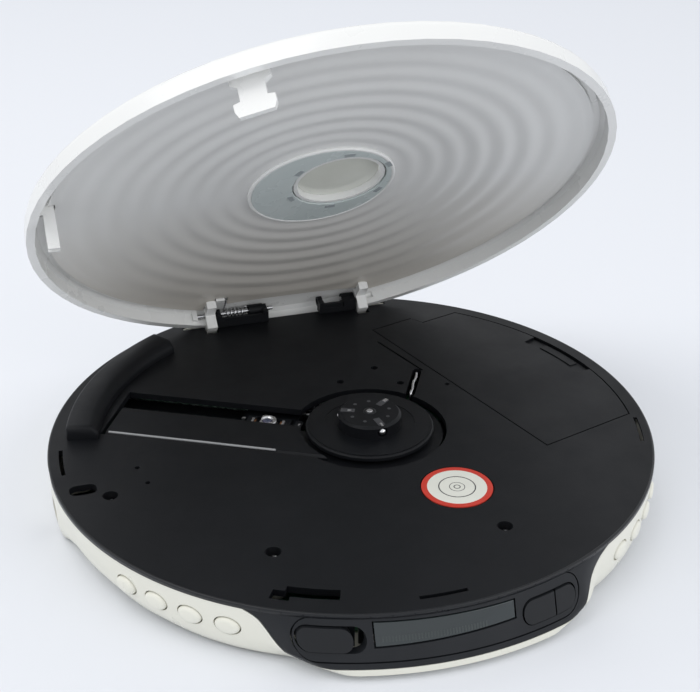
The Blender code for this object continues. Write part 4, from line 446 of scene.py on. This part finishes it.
def band(inner, outer, start, end, centre=(0, 0), steps=12):
    """The outline of a bent strip between two radii."""
    near = circle(inner, steps, centre, start, end - start)
    far = circle(outer, steps, centre, start, end - start)
    return near + list(reversed(far))


def tube(points, radius, sides=12):
    """A round wire through points, as a mesh."""
    curve = bpy.data.curves.new("wire", "CURVE")
    curve.dimensions = "3D"
    curve.bevel_depth = radius
    curve.bevel_resolution = sides // 4
    curve.use_fill_caps = True
    spline = curve.splines.new("POLY")
    spline.points.add(len(points) - 1)
    for point, place in zip(spline.points, points):
        point.co = (*place, 1.0)
    holder = bpy.data.objects.new("wire", curve)
    bpy.context.scene.collection.objects.link(holder)
    graph = bpy.context.evaluated_depsgraph_get()
    mesh = bpy.data.meshes.new_from_object(holder.evaluated_get(graph))
    bpy.data.objects.remove(holder)
    return mesh


def joined(meshes):
    """Several meshes as one."""
    shape = bmesh.new()
    for mesh in meshes:
        shape.from_mesh(mesh)
    return mesh_from_parts(shape)


def mesh_from_parts(shape):
    """A mesh from a bmesh as it is."""
    mesh = bpy.data.meshes.new("parts")
    shape.to_mesh(mesh)
    shape.free()
    return mesh


def carve(mesh, *tools, operation="DIFFERENCE"):
    """The mesh less its tools, or what it shares with them, by exact booleans."""
    holder = bpy.data.objects.new("carved", mesh)
    bpy.context.scene.collection.objects.link(holder)
    for tool in tools:
        cutter = bpy.data.objects.new("tool", tool)
        bpy.context.scene.collection.objects.link(cutter)
        change = holder.modifiers.new("cut", "BOOLEAN")
        change.operation = operation
        change.solver = "EXACT"
        change.object = cutter
        graph = bpy.context.evaluated_depsgraph_get()
        holder.data = bpy.data.meshes.new_from_object(holder.evaluated_get(graph))
        holder.modifiers.clear()
        bpy.data.objects.remove(cutter)
    result = holder.data
    bpy.data.objects.remove(holder)
    return result


# The body, in the shapes of the photograph at full smoothness

def table_value(places, values, position):
    """A value read from a table, with straight lines between its places."""
    for low, high, first, second in zip(places, places[1:], values, values[1:]):
        if position <= high:
            return first + (second - first) * (position - low) / (high - low)
    return values[-1]


def nose_weight(phi, level):
    """1 on the nose and 0 beside it, PHI degrees from the front."""
    flat = table_value(NOSE_LEVEL_SHARES, NOSE_FLAT_DEG, level)
    end = table_value(NOSE_LEVEL_SHARES, NOSE_END_DEG, level)
    share = min(1.0, max(0.0, (end - abs(phi)) / (end - flat)))
    return share * share * (3 - 2 * share)


def body_radius(phi, depth):
    """Outside of the body, PHI degrees from the front towards +X, at a depth below the deck."""
    share = depth / DECK_HEIGHT
    tuck = TUCK * table_value(TUCK_DEG, TUCK_ROUND_SHARES, abs(phi))
    plain = DECK_RADIUS - tuck * table_value(DEPTH_SHARES, TUCK_SHARES, share)
    nose = DECK_RADIUS + NOSE_REACH * table_value(DEPTH_SHARES, NOSE_SHARES, share)
    return plain + (nose - plain) * nose_weight(phi, share)


def radial(phi, radius, height=0.0):
    """A point PHI degrees from the front towards +X."""
    turn = math.radians(phi)
    return Vector((radius * math.sin(turn), -radius * math.cos(turn), height))


def loft(rings, matrix=None):
    """A closed body through rings of points; a ring of one point is a pole."""
    shape = bmesh.new()
    layers = [[shape.verts.new(point) for point in ring] for ring in rings]
    for lower, upper in zip(layers, layers[1:]):
        count = max(len(lower), len(upper))
        for index in range(count):
            following = (index + 1) % count
            corners = [lower[index % len(lower)], lower[following % len(lower)],
                       upper[following % len(upper)], upper[index % len(upper)]]
            shape.faces.new(list(dict.fromkeys(corners)))
    for end in (layers[0], layers[-1]):
        if len(end) > 2:
            shape.faces.new(end)
    return mesh_from(shape, matrix)


def inside_box(mesh):
    """Keep a round piece within the product's own box."""
    for vert in mesh.vertices:
        vert.co.x = max(-BOX_SIDE, min(BOX_SIDE, vert.co.x))
        vert.co.y = min(BOX_BACK, vert.co.y)
    return mesh


def front_tool(outline, near=-0.6 * DECK_RADIUS):
    """A cutter seen from the front: (x, depth) points extruded through the nose."""
    start = -(DECK_RADIUS + NOSE_REACH + 2 * MM)
    shape = bmesh.new()
    face = shape.faces.new([shape.verts.new((x, start, DECK_HEIGHT - depth)) for x, depth in outline])
    grown = bmesh.ops.extrude_face_region(shape, geom=[face])
    moved = [item for item in grown["geom"] if isinstance(item, bmesh.types.BMVert)]
    bmesh.ops.translate(shape, verts=moved, vec=(0.0, near - start, 0.0))
    return mesh_from(shape)


def smooth_line(points, steps=5):
    """A Catmull-Rom curve through points."""
    padded = [points[0], *points, points[-1]]
    line = []
    for a, b, c, d in zip(padded, padded[1:], padded[2:], padded[3:]):
        for step in range(steps):
            t = step / steps
            line.append(tuple(0.5 * (2 * q + (r - p) * t + (2 * p - 5 * q + 4 * r - u) * t ** 2
                                     + (3 * q - p - 3 * r + u) * t ** 3) for p, q, r, u in zip(a, b, c, d)))
    line.append(points[-1])
    return line


def fascia_outline(clearance):
    """The fascia's (x, depth) outline seen from the front."""
    def side(width, shares):
        line = smooth_line([(share * width + clearance, drop * FASCIA_DROP + clearance * (drop > 0))
                            for share, drop in zip(shares, FASCIA_DROPS)])
        return [(line[0][0], -2 * MM), *line[1:]]

    left = side(FASCIA_LEFT, FASCIA_LEFT_SHARES)
    return side(FASCIA_RIGHT, FASCIA_RIGHT_SHARES) + [(-x, depth) for x, depth in reversed(left)]


def rounded_outline(left, right, low, high, steps=14):
    """A slot's outline with half-round ends."""
    radius = (high - low) / 2 - 0.01 * MM
    points = []
    for x, y, start in ((right - radius, low + radius, -90), (right - radius, high - radius, 0),
                        (left + radius, high - radius, 90), (left + radius, low + radius, 180)):
        for step in range(steps + 1):
            turn = math.radians(start + 90 * step / steps)
            points.append((x + radius * math.cos(turn), y + radius * math.sin(turn)))
    return points


def key_frame(phi):
    """Where a side key sits, with +X outwards and +Z up."""
    place = radial(phi, KEY_PLACE_RADIUS, DECK_HEIGHT - KEY_DEPTH)
    return Matrix.Translation(place) @ Matrix.Rotation(math.radians(phi - 90), 4, "Z")


def oval_ring(x, scale, extra=0.0, steps=40):
    """A key's oval at a distance along its axis."""
    half_width = KEY_HALF_WIDTH * scale + extra
    half_height = KEY_HALF_HEIGHT * scale + extra
    return [Vector((x, half_width * math.cos(2 * math.pi * step / steps),
                    half_height * math.sin(2 * math.pi * step / steps))) for step in range(steps)]


def depth_line(first, last, count):
    """Even steps between two depths."""
    return [first + (last - first) * step / count for step in range(count + 1)]


def shell_angles():
    """Steps round the circle, twice as close on the nose's flanks."""
    count = 576
    turns = [360 * step / count - 180 for step in range(count)]
    return [turn for step, turn in enumerate(turns) if step % 2 == 0 or 12 < abs(turn) < 34]


def socket_tool(phi, height):
    """A round cutter through the wall, PHI degrees from the front."""
    tool = prism(circle(SOCKET_RADIUS, 48), 0.9 * DECK_RADIUS, DECK_RADIUS + 2 * MM)
    turn = Matrix.Translation((0, 0, height)) @ Matrix.Rotation(math.radians(phi - 90), 4, "Z")
    tool.transform(turn @ Matrix.Rotation(math.radians(90), 4, "Y"))
    return tool


def add_shell():
    """The white lower casing, with its wall, openings, foot recesses and screw bosses."""
    angles = shell_angles()
    bottom = DECK_HEIGHT - FLOOR_RISE
    depths = depth_line(SHELL_TOP_DEPTH, 0.80 * DECK_HEIGHT, 12)
    depths += [0.85 * DECK_HEIGHT, 0.90 * DECK_HEIGHT, 0.93 * DECK_HEIGHT, bottom]

    def row(depth, inset=0.0):
        return [radial(phi, body_radius(phi, depth) - inset, DECK_HEIGHT - depth) for phi in angles]

    rings = [[Vector((0, 0, 0))],
             [radial(phi, LAND_RADIUS) for phi in angles],
             [radial(phi, LAND_RADIUS + LAND_STEP, FLOOR_RISE) for phi in angles]]
    rings += [row(depth) for depth in reversed(depths)]
    rings += [row(depth, BODY_WALL) for depth in depths[:-3] + [bottom - FLOOR_THICKNESS]]
    rings.append([Vector((0, 0, FLOOR_RISE + FLOOR_THICKNESS))])
    shell = inside_box(loft(rings))
    reach = BODY_WALL + 3 * MM
    ovals = [loft([oval_ring(-reach, 1.0, CLEAR), oval_ring(reach, 1.0, CLEAR)], key_frame(side * phi))
             for side in (-1, 1) for phi in KEY_DEG]
    sockets = [socket_tool(phi, height) for phi, height in SOCKETS]
    foot_radius = 4.5 * MM
    recess = 0.8 * MM
    feet = [prism(circle(foot_radius, 48, (x * MM, y * MM)), -1 * MM, FLOOR_RISE + recess)
            for x, y in FOOT_PLACES]
    shell = carve(shell, front_tool(fascia_outline(0.12 * MM)), joined(ovals + sockets + feet))
    thing = link("shell_fine", shell, "shell_white", "root", "bottom_shell")
    thing.data.set_sharp_from_angle(angle=math.radians(32))
    bore = 0.9 * MM
    outside = 2.2 * MM
    foot = 1.8 * MM
    head = 9.0 * MM
    bosses = [lathe([(bore, foot), (outside, foot), (outside, head), (bore, head)], 32,
                    matrix=Matrix.Translation((x * MM, y * MM, 0))) for x, y in SCREW_PLACES]
    link("shell_bosses", joined(bosses), "shell_white", "root", smooth=False)


def add_fascia():
    """The dark front round the display, cut to its curved outline, with room for its insert."""
    span = 78
    steps = 156
    proud = 0.02 * MM
    depths = depth_line(SHELL_TOP_DEPTH, FASCIA_DROP + 0.4 * MM, 14)
    rings = []
    for step in range(steps + 1):
        phi = span * step / steps - span / 2
        outside = [radial(phi, body_radius(phi, depth) + proud, DECK_HEIGHT - depth) for depth in depths]
        inside = [radial(phi, body_radius(phi, depth) - FASCIA_THICKNESS, DECK_HEIGHT - depth)
                  for depth in reversed(depths)]
        rings.append(outside + inside)
    skin = carve(loft(rings), front_tool(fascia_outline(0.0)), operation="INTERSECT")
    left, right, high, low = INSERT_SIDES
    room = rounded_outline(left - CLEAR, right + CLEAR, high - CLEAR, low + CLEAR)
    skin = carve(skin, front_tool(room))
    thing = link("fascia_fine", skin, "fascia_grey", "root", "front_fascia")
    thing.data.set_sharp_from_angle(angle=math.radians(32))


def add_side_keys():
    """Oval keys with a low round crown and a flange behind the wall."""
    back = -BODY_WALL - CLEAR - 1.3 * MM
    front = back + 0.8 * MM
    steps = 6
    start = 0.3
    squareness = 0.45
    for side, name in ((-1, "left"), (1, "right")):
        for index, phi in enumerate(KEY_DEG):
            rings = [oval_ring(back, 1.0, KEY_FLANGE), oval_ring(front, 1.0, KEY_FLANGE)]
            rings.append(oval_ring(front, 1.0))
            for step in range(steps + 1):
                turn = math.radians(90 * step / steps)
                rise = KEY_CROWN * (start + (1 - start) * math.sin(turn))
                rings.append(oval_ring(rise, max(0.05, math.cos(turn) ** squareness)))
            rings.append([Vector((KEY_CROWN, 0.0, 0.0))])
            node = f"{name}_key_{index + 1}"
            body = f"{name}_button_{index + 1}"
            thing = link(f"{node}_round", loft(rings, key_frame(side * phi)), "shell_white", body, node)
            thing.data.set_sharp_from_angle(angle=math.radians(50))


def add_guard():
    """The raised crescent beside the disc's edge, with soft tips and a sloped inner side."""
    bottom = DECK_HEIGHT - 0.1 * MM
    top = DECK_HEIGHT + GUARD_RISE
    soft = 0.55 * MM
    tip_lifts = (0.0, 0.25, 0.7)
    tip_turn = 0.35
    tip_shrink = 0.45 * MM
    steps = 48
    first, last = GUARD_TIPS_DEG
    stations = [(first + tip_turn * lift, lift) for lift in tip_lifts]
    stations += [(GUARD_START_DEG + GUARD_SPAN_DEG * step / steps, 1.0) for step in range(steps + 1)]
    stations += [(last - tip_turn * lift, lift) for lift in reversed(tip_lifts)]
    slope = ((2.1 * MM, 0.0), (1.2 * MM, 0.35 * MM), (0.35 * MM, 1.3 * MM), (0.0, 2.0 * MM))
    rings = []
    for phi, lift in stations:
        shrink = tip_shrink * (1 - lift)
        high = top - shrink
        near = GUARD_INNER + shrink
        far = GUARD_OUTER - shrink
        ring = [radial(phi, far, bottom), radial(phi, far, high - soft)]
        for turn in (30, 60, 90):
            ring.append(radial(phi, far - soft + soft * math.cos(math.radians(turn)),
                               high - soft + soft * math.sin(math.radians(turn))))
        ring += [radial(phi, near + out, high - drop) for out, drop in slope]
        ring.append(radial(phi, near, bottom))
        rings.append(ring)
    thing = link("guard_fine", loft(rings), "deck_black", "root", "disc_guard")
    thing.data.set_sharp_from_angle(angle=math.radians(40))


def add_slider_skirt():
    """The slider's flange, which closes its slot from behind, and a fixed plate beyond it."""
    top = 2.2 * MM
    bottom = 9.4 * MM
    thickness = 0.4 * MM
    steps = 8

    def curved_plate(start, end, radius):
        corners = ((top, radius), (bottom, radius), (bottom, radius - thickness), (top, radius - thickness))
        rings = []
        for step in range(steps + 1):
            x = start + (end - start) * step / steps
            rings.append([Vector((x, -math.sqrt(reach ** 2 - x ** 2), DECK_HEIGHT - depth))
                          for depth, reach in corners])
        return loft(rings)

    skirt = curved_plate(-21.5 * MM, -18.5 * MM, 65.4 * MM)
    link("slider_skirt", skirt, "key_black", "opener", smooth=False)
    back = curved_plate(-17.6 * MM, -16.2 * MM, 64.7 * MM)
    link("slider_back", back, "key_black", "root", smooth=False)


# The deck and its front

def add_deck_rim():
    """A round-edged band along the deck's edge, and the deck's bridge behind the hinge."""
    inner = DECK_RADIUS - RIM_WIDTH
    crest = DECK_HEIGHT + 0.03 * MM
    soft = 0.28 * MM
    low = DECK_HEIGHT - 0.95 * MM
    profile = [(inner, crest - 0.05 * MM), (inner + 0.1 * MM, crest)]
    for step in range(7):
        turn = math.radians(90 - 15 * step)
        profile.append((DECK_RADIUS - soft + soft * math.cos(turn), crest - soft + soft * math.sin(turn)))
    profile += [(DECK_RADIUS, low), (inner, low)]
    link("deck_rim", inside_box(lathe(profile, 288)), "rim_satin", "root")
    first = 155.5
    span = 49.0
    steps = 32
    outer = DECK_RADIUS - 0.3 * MM
    bottom = DECK_HEIGHT - 3 * MM
    corners = ((NOTCH_INNER, bottom), (NOTCH_INNER, DECK_HEIGHT), (outer, DECK_HEIGHT), (outer, bottom))
    rings = [[radial(first + span * step / steps, radius, height) for radius, height in corners]
             for step in range(steps + 1)]
    link("rim_bridge", inside_box(loft(rings)), "deck_black", "root", smooth=False)


def add_label():
    """A round sticker: a red margin, a pale field and a plain disc drawn on it."""
    place = Matrix.Translation((*LABEL_PLACE, 0))
    base = DECK_HEIGHT - 0.2 * MM
    top = DECK_HEIGHT + 0.05 * MM
    field_top = top + 0.012 * MM
    ink_top = top + 0.02 * MM

    def ring(name, inner, outer, height, look, *replaced):
        profile = [(inner, base), (outer, base), (outer, height), (inner, height)]
        link(name, lathe(profile, 96, matrix=place), look, "root", *replaced, smooth=False)

    ring("label_margin", 0.0, LABEL_RADIUS, top, "print_red", "round_label")
    ring("label_field", 0.0, LABEL_FIELD_RADIUS, field_top, "print_cream")
    ring("label_disc_edge", 3.75 * MM, 4.0 * MM, ink_top, "print_ink_and_painted_shade")
    ring("label_disc_band", 1.55 * MM, 1.7 * MM, ink_top, "print_ink_and_painted_shade")
    ring("label_disc_hole", 0.55 * MM, 0.75 * MM, ink_top, "print_ink_and_painted_shade")


def add_display_segments():
    """Faint upright segments behind the display's glass."""
    count = 34
    first = -14.6 * MM
    span = 20.0 * MM
    half = 0.16 * MM
    high = 4.1 * MM
    low = 5.2 * MM
    proud = 0.015 * MM
    shape = bmesh.new()
    for index in range(count):
        middle = first + span * index / (count - 1)
        corners = []
        for across, depth in ((-half, high), (half, high), (half, low), (-half, low)):
            x = middle + across
            radius = body_radius(0.0, depth) + proud
            corners.append(shape.verts.new((x, -math.sqrt(radius ** 2 - x ** 2), DECK_HEIGHT - depth)))
        shape.faces.new(corners)
    link("display_segments", mesh_from_parts(shape), "segment_grey", "root", smooth=False)


def add_wire_spring():
    """The bent wire in its slot beside the turntable."""
    start = Vector((23.1 * MM, 20.0 * MM, 0))
    end = Vector((17.7 * MM, 9.7 * MM, 0))
    along = (end - start).normalized()
    inset = 0.77 * MM
    low = Vector((0, 0, DECK_HEIGHT - 2.4 * MM))
    high = DECK_HEIGHT - 0.18 * MM
    shoulder = Vector((0, 0, high - 0.5 * MM))
    dip = 0.25 * MM
    sway = 0.12 * MM
    steps = 12
    first = start + along * inset
    last = end - along * inset
    route = [first + low, first + shoulder]
    for step in range(steps + 1):
        share = step / steps
        lift = high - dip * math.sin(math.pi * share * 2) ** 2
        aside = Vector((sway * math.sin(math.pi * share * 3), 0, lift))
        route.append(first.lerp(last, 0.04 + 0.92 * share) + aside)
    route += [last + shoulder, last + low]
    link("wire_spring_fine", tube(route, 0.35 * MM), "bright_steel", "root", "wire_spring")


def add_shield_highlight():
    """A pale grey tube along the shield's edge, in two lengths along the pickup's way: a painted highlight
    for the light that the edge catches.
    """
    runs = ((18.5, 31.0, 13.9, 13.0), (31.0, 57.5, 13.65, 12.86))
    parts = []
    for start, end, side, height in runs:
        route = [Vector((along * MM, side * MM, height * MM)) for along in (start, end)]
        wire = tube(route, 0.27 * MM)
        wire.transform(SLED_FRAME)
        parts.append(wire)
    link("shield_edge", joined(parts), "painted_highlight_grey", "root")


# Turntable

def add_hub_details():
    """Slots over the three balls and small holes in the hub, drawn as flat dark marks that paint the shade
    of these openings, and a friction ring on the platter.
    """
    here = Matrix.Translation(TURNTABLE)
    base = HUB_TOP - 0.1 * MM
    top = HUB_TOP + 0.02 * MM
    leaf_top = top + 0.06 * MM
    hole_reach = 4.6 * MM
    leaves = ((5.7, 6.95, 0.28), (5.5, 6.9, 0.45), (4.2, 5.0, 0.25))
    dark = []
    bright = []
    for index, (near, far, half) in enumerate(leaves):
        angle = BALL_FIRST + 120 * index
        around = here @ Matrix.Rotation(math.radians(angle), 4, "Z")
        dark.append(box((3.4 * MM, -0.75 * MM, base), (6.6 * MM, 0.75 * MM, top), around))
        bright.append(box((near * MM, -half * MM, base), (far * MM, half * MM, leaf_top), around, 0.03 * MM))
        for offset in (38, 82):
            hole = math.radians(angle + offset)
            place = (TURNTABLE.x + hole_reach * math.cos(hole), TURNTABLE.y + hole_reach * math.sin(hole))
            dark.append(prism(circle(0.42 * MM, 20, place), base, top))
    # Painted shade: flat dark pieces on the hub's top stand for its slots and holes.
    link("hub_slot_shade", joined(dark), "print_ink_and_painted_shade", "spindle", smooth=False)
    link("ball_leaves", joined(bright), "bright_steel", "spindle", smooth=False)
    inner = 10.4 * MM
    outer = 13.8 * MM
    low = PLATTER_TOP - 0.1 * MM
    high = PLATTER_TOP + 0.10 * MM
    profile = [(inner, low), (inner, high), (outer, high), (outer, low)]
    link("platter_ring", lathe(profile, 96, matrix=here), "deck_black", "spindle", smooth=False)
    bore = 0.8 * MM
    collar = [(bore, base), (1.5 * MM, base), (1.4 * MM, HUB_TOP + 0.14 * MM), (bore, HUB_TOP + 0.18 * MM)]
    link("spindle_collar", lathe(collar, 48, matrix=here), "rim_satin", "spindle")


def add_balls():
    """Three smooth balls in the hub's side."""
    height = 15.5 * MM
    for index in range(3):
        turn = math.radians(BALL_FIRST + 120 * index)
        place = TURNTABLE + Vector((BALL_REACH * math.cos(turn), BALL_REACH * math.sin(turn), height))
        shape = bmesh.new()
        bmesh.ops.create_uvsphere(shape, u_segments=32, v_segments=16, radius=BALL_RADIUS)
        mesh = mesh_from(shape, Matrix.Translation(place))
        name = f"chuck_ball_{index + 1}"
        link(f"{name}_round", mesh, "ball_chrome", f"ball_{index + 1}", name)


# Pickup

def add_pickup_details():
    """The lens in its bright ring, with magnets, coils and blocks on the carrier round it."""
    turned = SLED_FRAME @ Matrix.Translation((LENS_REACH, 0, 0))
    bore = LENS_SIZE + 0.05 * MM
    ring = [(bore, LENS_LOW), (LENS_RING, LENS_LOW), (LENS_RING, LENS_TOP - 0.35 * MM),
            (LENS_RING - 0.25 * MM, LENS_TOP - 0.05 * MM), (LENS_SIZE + 0.35 * MM, LENS_TOP),
            (bore, LENS_TOP - 0.3 * MM)]
    aside = 4 * MM
    flat = box((LENS_FLAT, -aside, LENS_LOW - 1 * MM), (aside, aside, LENS_TOP + 1 * MM))
    holder = carve(lathe(ring, 64), flat)
    holder.transform(turned)
    thing = link("lens_ring_fine", holder, "bright_steel", "lens", "lens_holder")
    thing.data.set_sharp_from_angle(angle=math.radians(40))
    bulge = [(0.0, LENS_LOW)]
    steps = 8
    for step in range(steps + 1):
        turn = math.radians(90 * step / steps)
        bulge.append((LENS_SIZE * math.cos(turn), LENS_TOP - 0.4 * MM + 0.5 * MM * math.sin(turn)))
    link("lens_fine", lathe(bulge, 64, matrix=turned), "lens_glass", "lens", "pickup_lens")

    def blocks(name, look, drop, places):
        low = SLED_TOP - 0.3 * MM
        high = CARRIER_TOP - drop * MM
        parts = [box((u0 * MM, v0 * MM, low), (u1 * MM, v1 * MM, high), turned, 0.06 * MM)
                 for u0, v0, u1, v1 in places]
        link(name, joined(parts), look, "sled", smooth=False)

    # Each block by its first and last place along and across the sled's way, in mm from the lens
    blocks("carrier", "key_black", 0.5, (
        (-5.2, -3.3, -2.9, 2.1),
        (2.9, -3.3, 5.2, 2.1),
        (-2.9, -3.3, 2.9, -2.9)))
    blocks("magnet_plates", "bright_steel", 0.0, (
        (-3.9, -1.7, -3.3, 1.6),
        (3.3, -1.7, 3.9, 1.6)))
    blocks("focus_coils", "coil_copper", 0.2, (
        (-3.2, -1.4, -2.9, 1.3),
        (2.9, -1.4, 3.2, 1.3)))
    blocks("carrier_posts", "bright_steel", 0.1, (
        (-6.0, 0.4, -5.4, 1.0),
        (-7.6, -1.2, -7.1, -0.6),
        (5.5, -1.6, 6.4, -1.0),
        (5.6, 0.8, 6.1, 1.4)))
    blocks("carrier_ends", "key_black", 0.3, (
        (-8.0, -2.6, -6.3, 1.9),
        (5.6, -0.6, 6.4, 0.5)))


# Hinge

def add_hinge_spring():
    """The coil round the left pin, with its leg against the lid."""
    start = Vector((-16.3 * MM, HINGE_Y, HINGE_Z))
    leg = 6.2 * MM
    tail = 1.2 * MM
    bend = 0.42 * MM
    points = [start + Vector((0, -leg, COIL_RADIUS)), start + Vector((0, -bend, COIL_RADIUS))]
    steps = COIL_TURNS * 24
    for step in range(steps + 1):
        turn = math.pi / 2 - 2 * math.pi * COIL_TURNS * step / steps
        points.append(start + Vector((COIL_PITCH * COIL_TURNS * step / steps, COIL_RADIUS * math.cos(turn),
                                      COIL_RADIUS * math.sin(turn))))
    points.append(points[-1] + Vector((tail, 0, 0)))
    mesh = tube(points, 0.2 * MM)
    mesh.transform(LID_FRAME)
    link("hinge_spring_fine", mesh, "bright_steel", "lid", "hinge_spring")


def add_hinge_walls():
    """The black blocks' front walls and the sleeve over the left pin's inner end."""
    near = 56.9 * MM
    far = 57.9 * MM
    foot = 14.3 * MM
    walls = [box((first * MM, near, foot), (last * MM, far, top * MM), bevel=0.15 * MM)
             for first, last, top in ((-17.6, -6.4, 15.6), (10.1, 15.2, 15.9))]
    link("hinge_walls", joined(walls), "deck_black", "root", smooth=False)
    start = -9.9 * MM
    end = -6.2 * MM
    profile = [(PIN_BORE, start), (SLEEVE_RADIUS, start), (SLEEVE_RADIUS, end), (PIN_BORE, end)]
    turned = Matrix.Translation((0, HINGE_Y, HINGE_Z)) @ Matrix.Rotation(math.radians(90), 4, "Y")
    link("hinge_sleeve", lathe(profile, 48, matrix=turned), "deck_black", "root", smooth=False)


def add_ears():
    """The lid's two ears beside the hinge blocks."""
    near = 53.2 * MM
    far = 57.9 * MM
    low = 14.8 * MM
    high = 17.0 * MM
    ears = [box((first * MM, near, low), (last * MM, far, high), bevel=0.3 * MM)
            for first, last in ((-21.6, -19.2), (19.2, 21.6))]
    mesh = joined(ears)
    mesh.transform(LID_FRAME)
    link("lid_ears", mesh, "lid_white", "lid", smooth=False)


# Lid

def lid_outer(radius):
    """Height of the closed lid's outside over the deck."""
    return LID_CROWN - (LID_CROWN - LID_SHOULDER) * (radius / LID_EDGE) ** 2


def ripple(radius):
    """Soft round waves, closer together near the middle."""
    share = (radius - WAVES_START) / (LINER_RADIUS - 2.0 * MM - WAVES_START)
    if share <= 0 or share >= 1:
        return 0.0
    fade = math.sin(math.pi * share) ** 0.35
    return WAVE_HEIGHT * fade * (math.cos(2 * math.pi * LINER_WAVES * share ** 0.85) - 1) / 2


def add_liner():
    """The lid's inner skin, with the room it leaves for the hinge, the catch and the window."""
    top = [(LINER_RADIUS * share / 8, DECK_HEIGHT + lid_outer(LINER_RADIUS * share / 8) - LINER_TOP_DROP)
           for share in range(9)]
    count = 150
    under = []
    for step in range(count + 1):
        radius = LINER_RADIUS * (1 - step / count)
        under.append((radius, DECK_HEIGHT + lid_outer(radius) - LINER_UNDER_DROP + ripple(radius)))
    liner = lathe(top + under, 160)
    high = DECK_HEIGHT + LID_CROWN
    beyond = 66 * MM

    def room(left, right, near, far, matrix=None):
        return box((left * MM, near * MM, DECK_HEIGHT), (right * MM, far, high), matrix)

    window = prism(circle(WINDOW_RADIUS + 1.4 * MM, 64, (TURNTABLE.x, TURNTABLE.y)), DECK_HEIGHT, high)
    hinge = room(-22.0, 22.0, 56.3, beyond)
    tab = room(-19.3, -15.8, 52.7, beyond)
    hook = room(-4.3, 4.3, -66, -60.8 * MM, Matrix.Rotation(math.radians(HOOK_DEG), 4, "Z"))
    side = room(-66, -59.7, -9.95, -7.45 * MM)
    carved = carve(liner, window, hinge, tab, hook, side)
    carved.transform(LID_FRAME)
    thing = link("liner_fine", carved, "liner_silver", "lid", "lid_liner")
    thing.data.set_sharp_from_angle(angle=math.radians(30))


def add_plate_rim():
    """The raised edge round the inner plate."""
    low = PLATE_HEIGHT
    high = low + 0.8 * MM
    profile = [(PLATE_RIM_INNER, low + 0.15 * MM), (PLATE_RIM_INNER + 0.2 * MM, low),
               (PLATE_RIM_OUTER - 0.25 * MM, low), (PLATE_RIM_OUTER, low + 0.25 * MM),
               (PLATE_RIM_OUTER, high), (PLATE_RIM_INNER, high)]
    mesh = lathe(profile, 96)
    mesh.transform(LID_FRAME)
    link("plate_rim", mesh, "lid_white", "lid")


def add_plate_clips():
    """Six small clips round the window that hold the inner plate."""
    middle = (TURNTABLE.x, TURNTABLE.y)
    bottom = DECK_HEIGHT + 6.0 * MM
    near = 11.4 * MM
    far = 12.5 * MM
    half = 5.5
    clips = []
    for index in range(6):
        angle = 30 + 60 * index
        outline = band(near, far, angle - half, angle + half, middle, 6)
        clips.append(prism(outline, bottom - 0.12 * MM, bottom + 0.1 * MM))
    mesh = joined(clips)
    mesh.transform(LID_FRAME)
    link("plate_clips", mesh, "clip_grey", "lid", smooth=False)


# Stage, lights and camera

def stage():
    """A pale paper floor under a pale sky."""
    bpy.ops.mesh.primitive_plane_add(size=8.0, location=(0, 0, 0))
    floor = bpy.context.object
    floor.name = "floor"
    paper = bpy.data.materials.new("floor_paper")
    paper.use_nodes = True
    shader = paper.node_tree.nodes["Principled BSDF"]
    shader.inputs["Base Color"].default_value = FLOOR_COLOUR
    shader.inputs["Roughness"].default_value = 0.9
    shader.inputs["Specular IOR Level"].default_value = 0.1
    floor.data.materials.append(paper)
    world = bpy.context.scene.world or bpy.data.worlds.new("world")
    bpy.context.scene.world = world
    world.use_nodes = True
    sky = world.node_tree.nodes["Background"]
    sky.inputs["Color"].default_value = SKY_COLOUR
    sky.inputs["Strength"].default_value = SKY_STRENGTH


def lamp(name, place, size, power, colour=(1, 1, 1)):
    """A soft round lamp aimed at the product."""
    data = bpy.data.lights.new(name, "AREA")
    data.shape = "DISK"
    data.size = size
    data.energy = power
    data.color = colour
    thing = bpy.data.objects.new(name, data)
    bpy.context.scene.collection.objects.link(thing)
    thing.location = place
    thing.rotation_euler = (Vector(LIGHTS_AIM) - Vector(place)).to_track_quat("-Z", "Y").to_euler()


def camera():
    """The photograph's view."""
    data = bpy.data.cameras.new("camera")
    data.sensor_fit = "HORIZONTAL"
    data.sensor_width = SENSOR
    data.lens = FOCAL_PIXELS / IMAGE_WIDTH * SENSOR
    data.clip_start = 0.01
    data.clip_end = 20.0
    thing = bpy.data.objects.new("camera", data)
    bpy.context.scene.collection.objects.link(thing)
    azimuth = math.radians(CAMERA_AZIMUTH_DEG)
    elevation = math.radians(CAMERA_ELEVATION_DEG)
    back = Vector((math.sin(azimuth) * math.cos(elevation), -math.cos(azimuth) * math.cos(elevation),
                   math.sin(elevation)))
    thing.location = Vector(CAMERA_TARGET) + back * CAMERA_DISTANCE
    thing.rotation_mode = "QUATERNION"
    thing.rotation_quaternion = (-back).to_track_quat("-Z", "Y")
    bpy.context.scene.camera = thing


dress_nodes()
add_shell()
add_fascia()
add_side_keys()
add_guard()
add_slider_skirt()
add_deck_rim()
add_label()
add_display_segments()
add_wire_spring()
add_shield_highlight()
add_hub_details()
add_balls()
add_pickup_details()
add_hinge_spring()
add_hinge_walls()
add_ears()
add_liner()
add_plate_rim()
add_plate_clips()
bpy.context.scene.view_settings.view_transform = "Standard"
stage()
lamp("key", (-0.40, 0.08, 0.78), 0.8, 2.5, (1.0, 0.99, 0.97))
lamp("fill", (0.50, -0.60, 0.40), 0.6, 1.1)
camera()
bpy.context.view_layer.update()
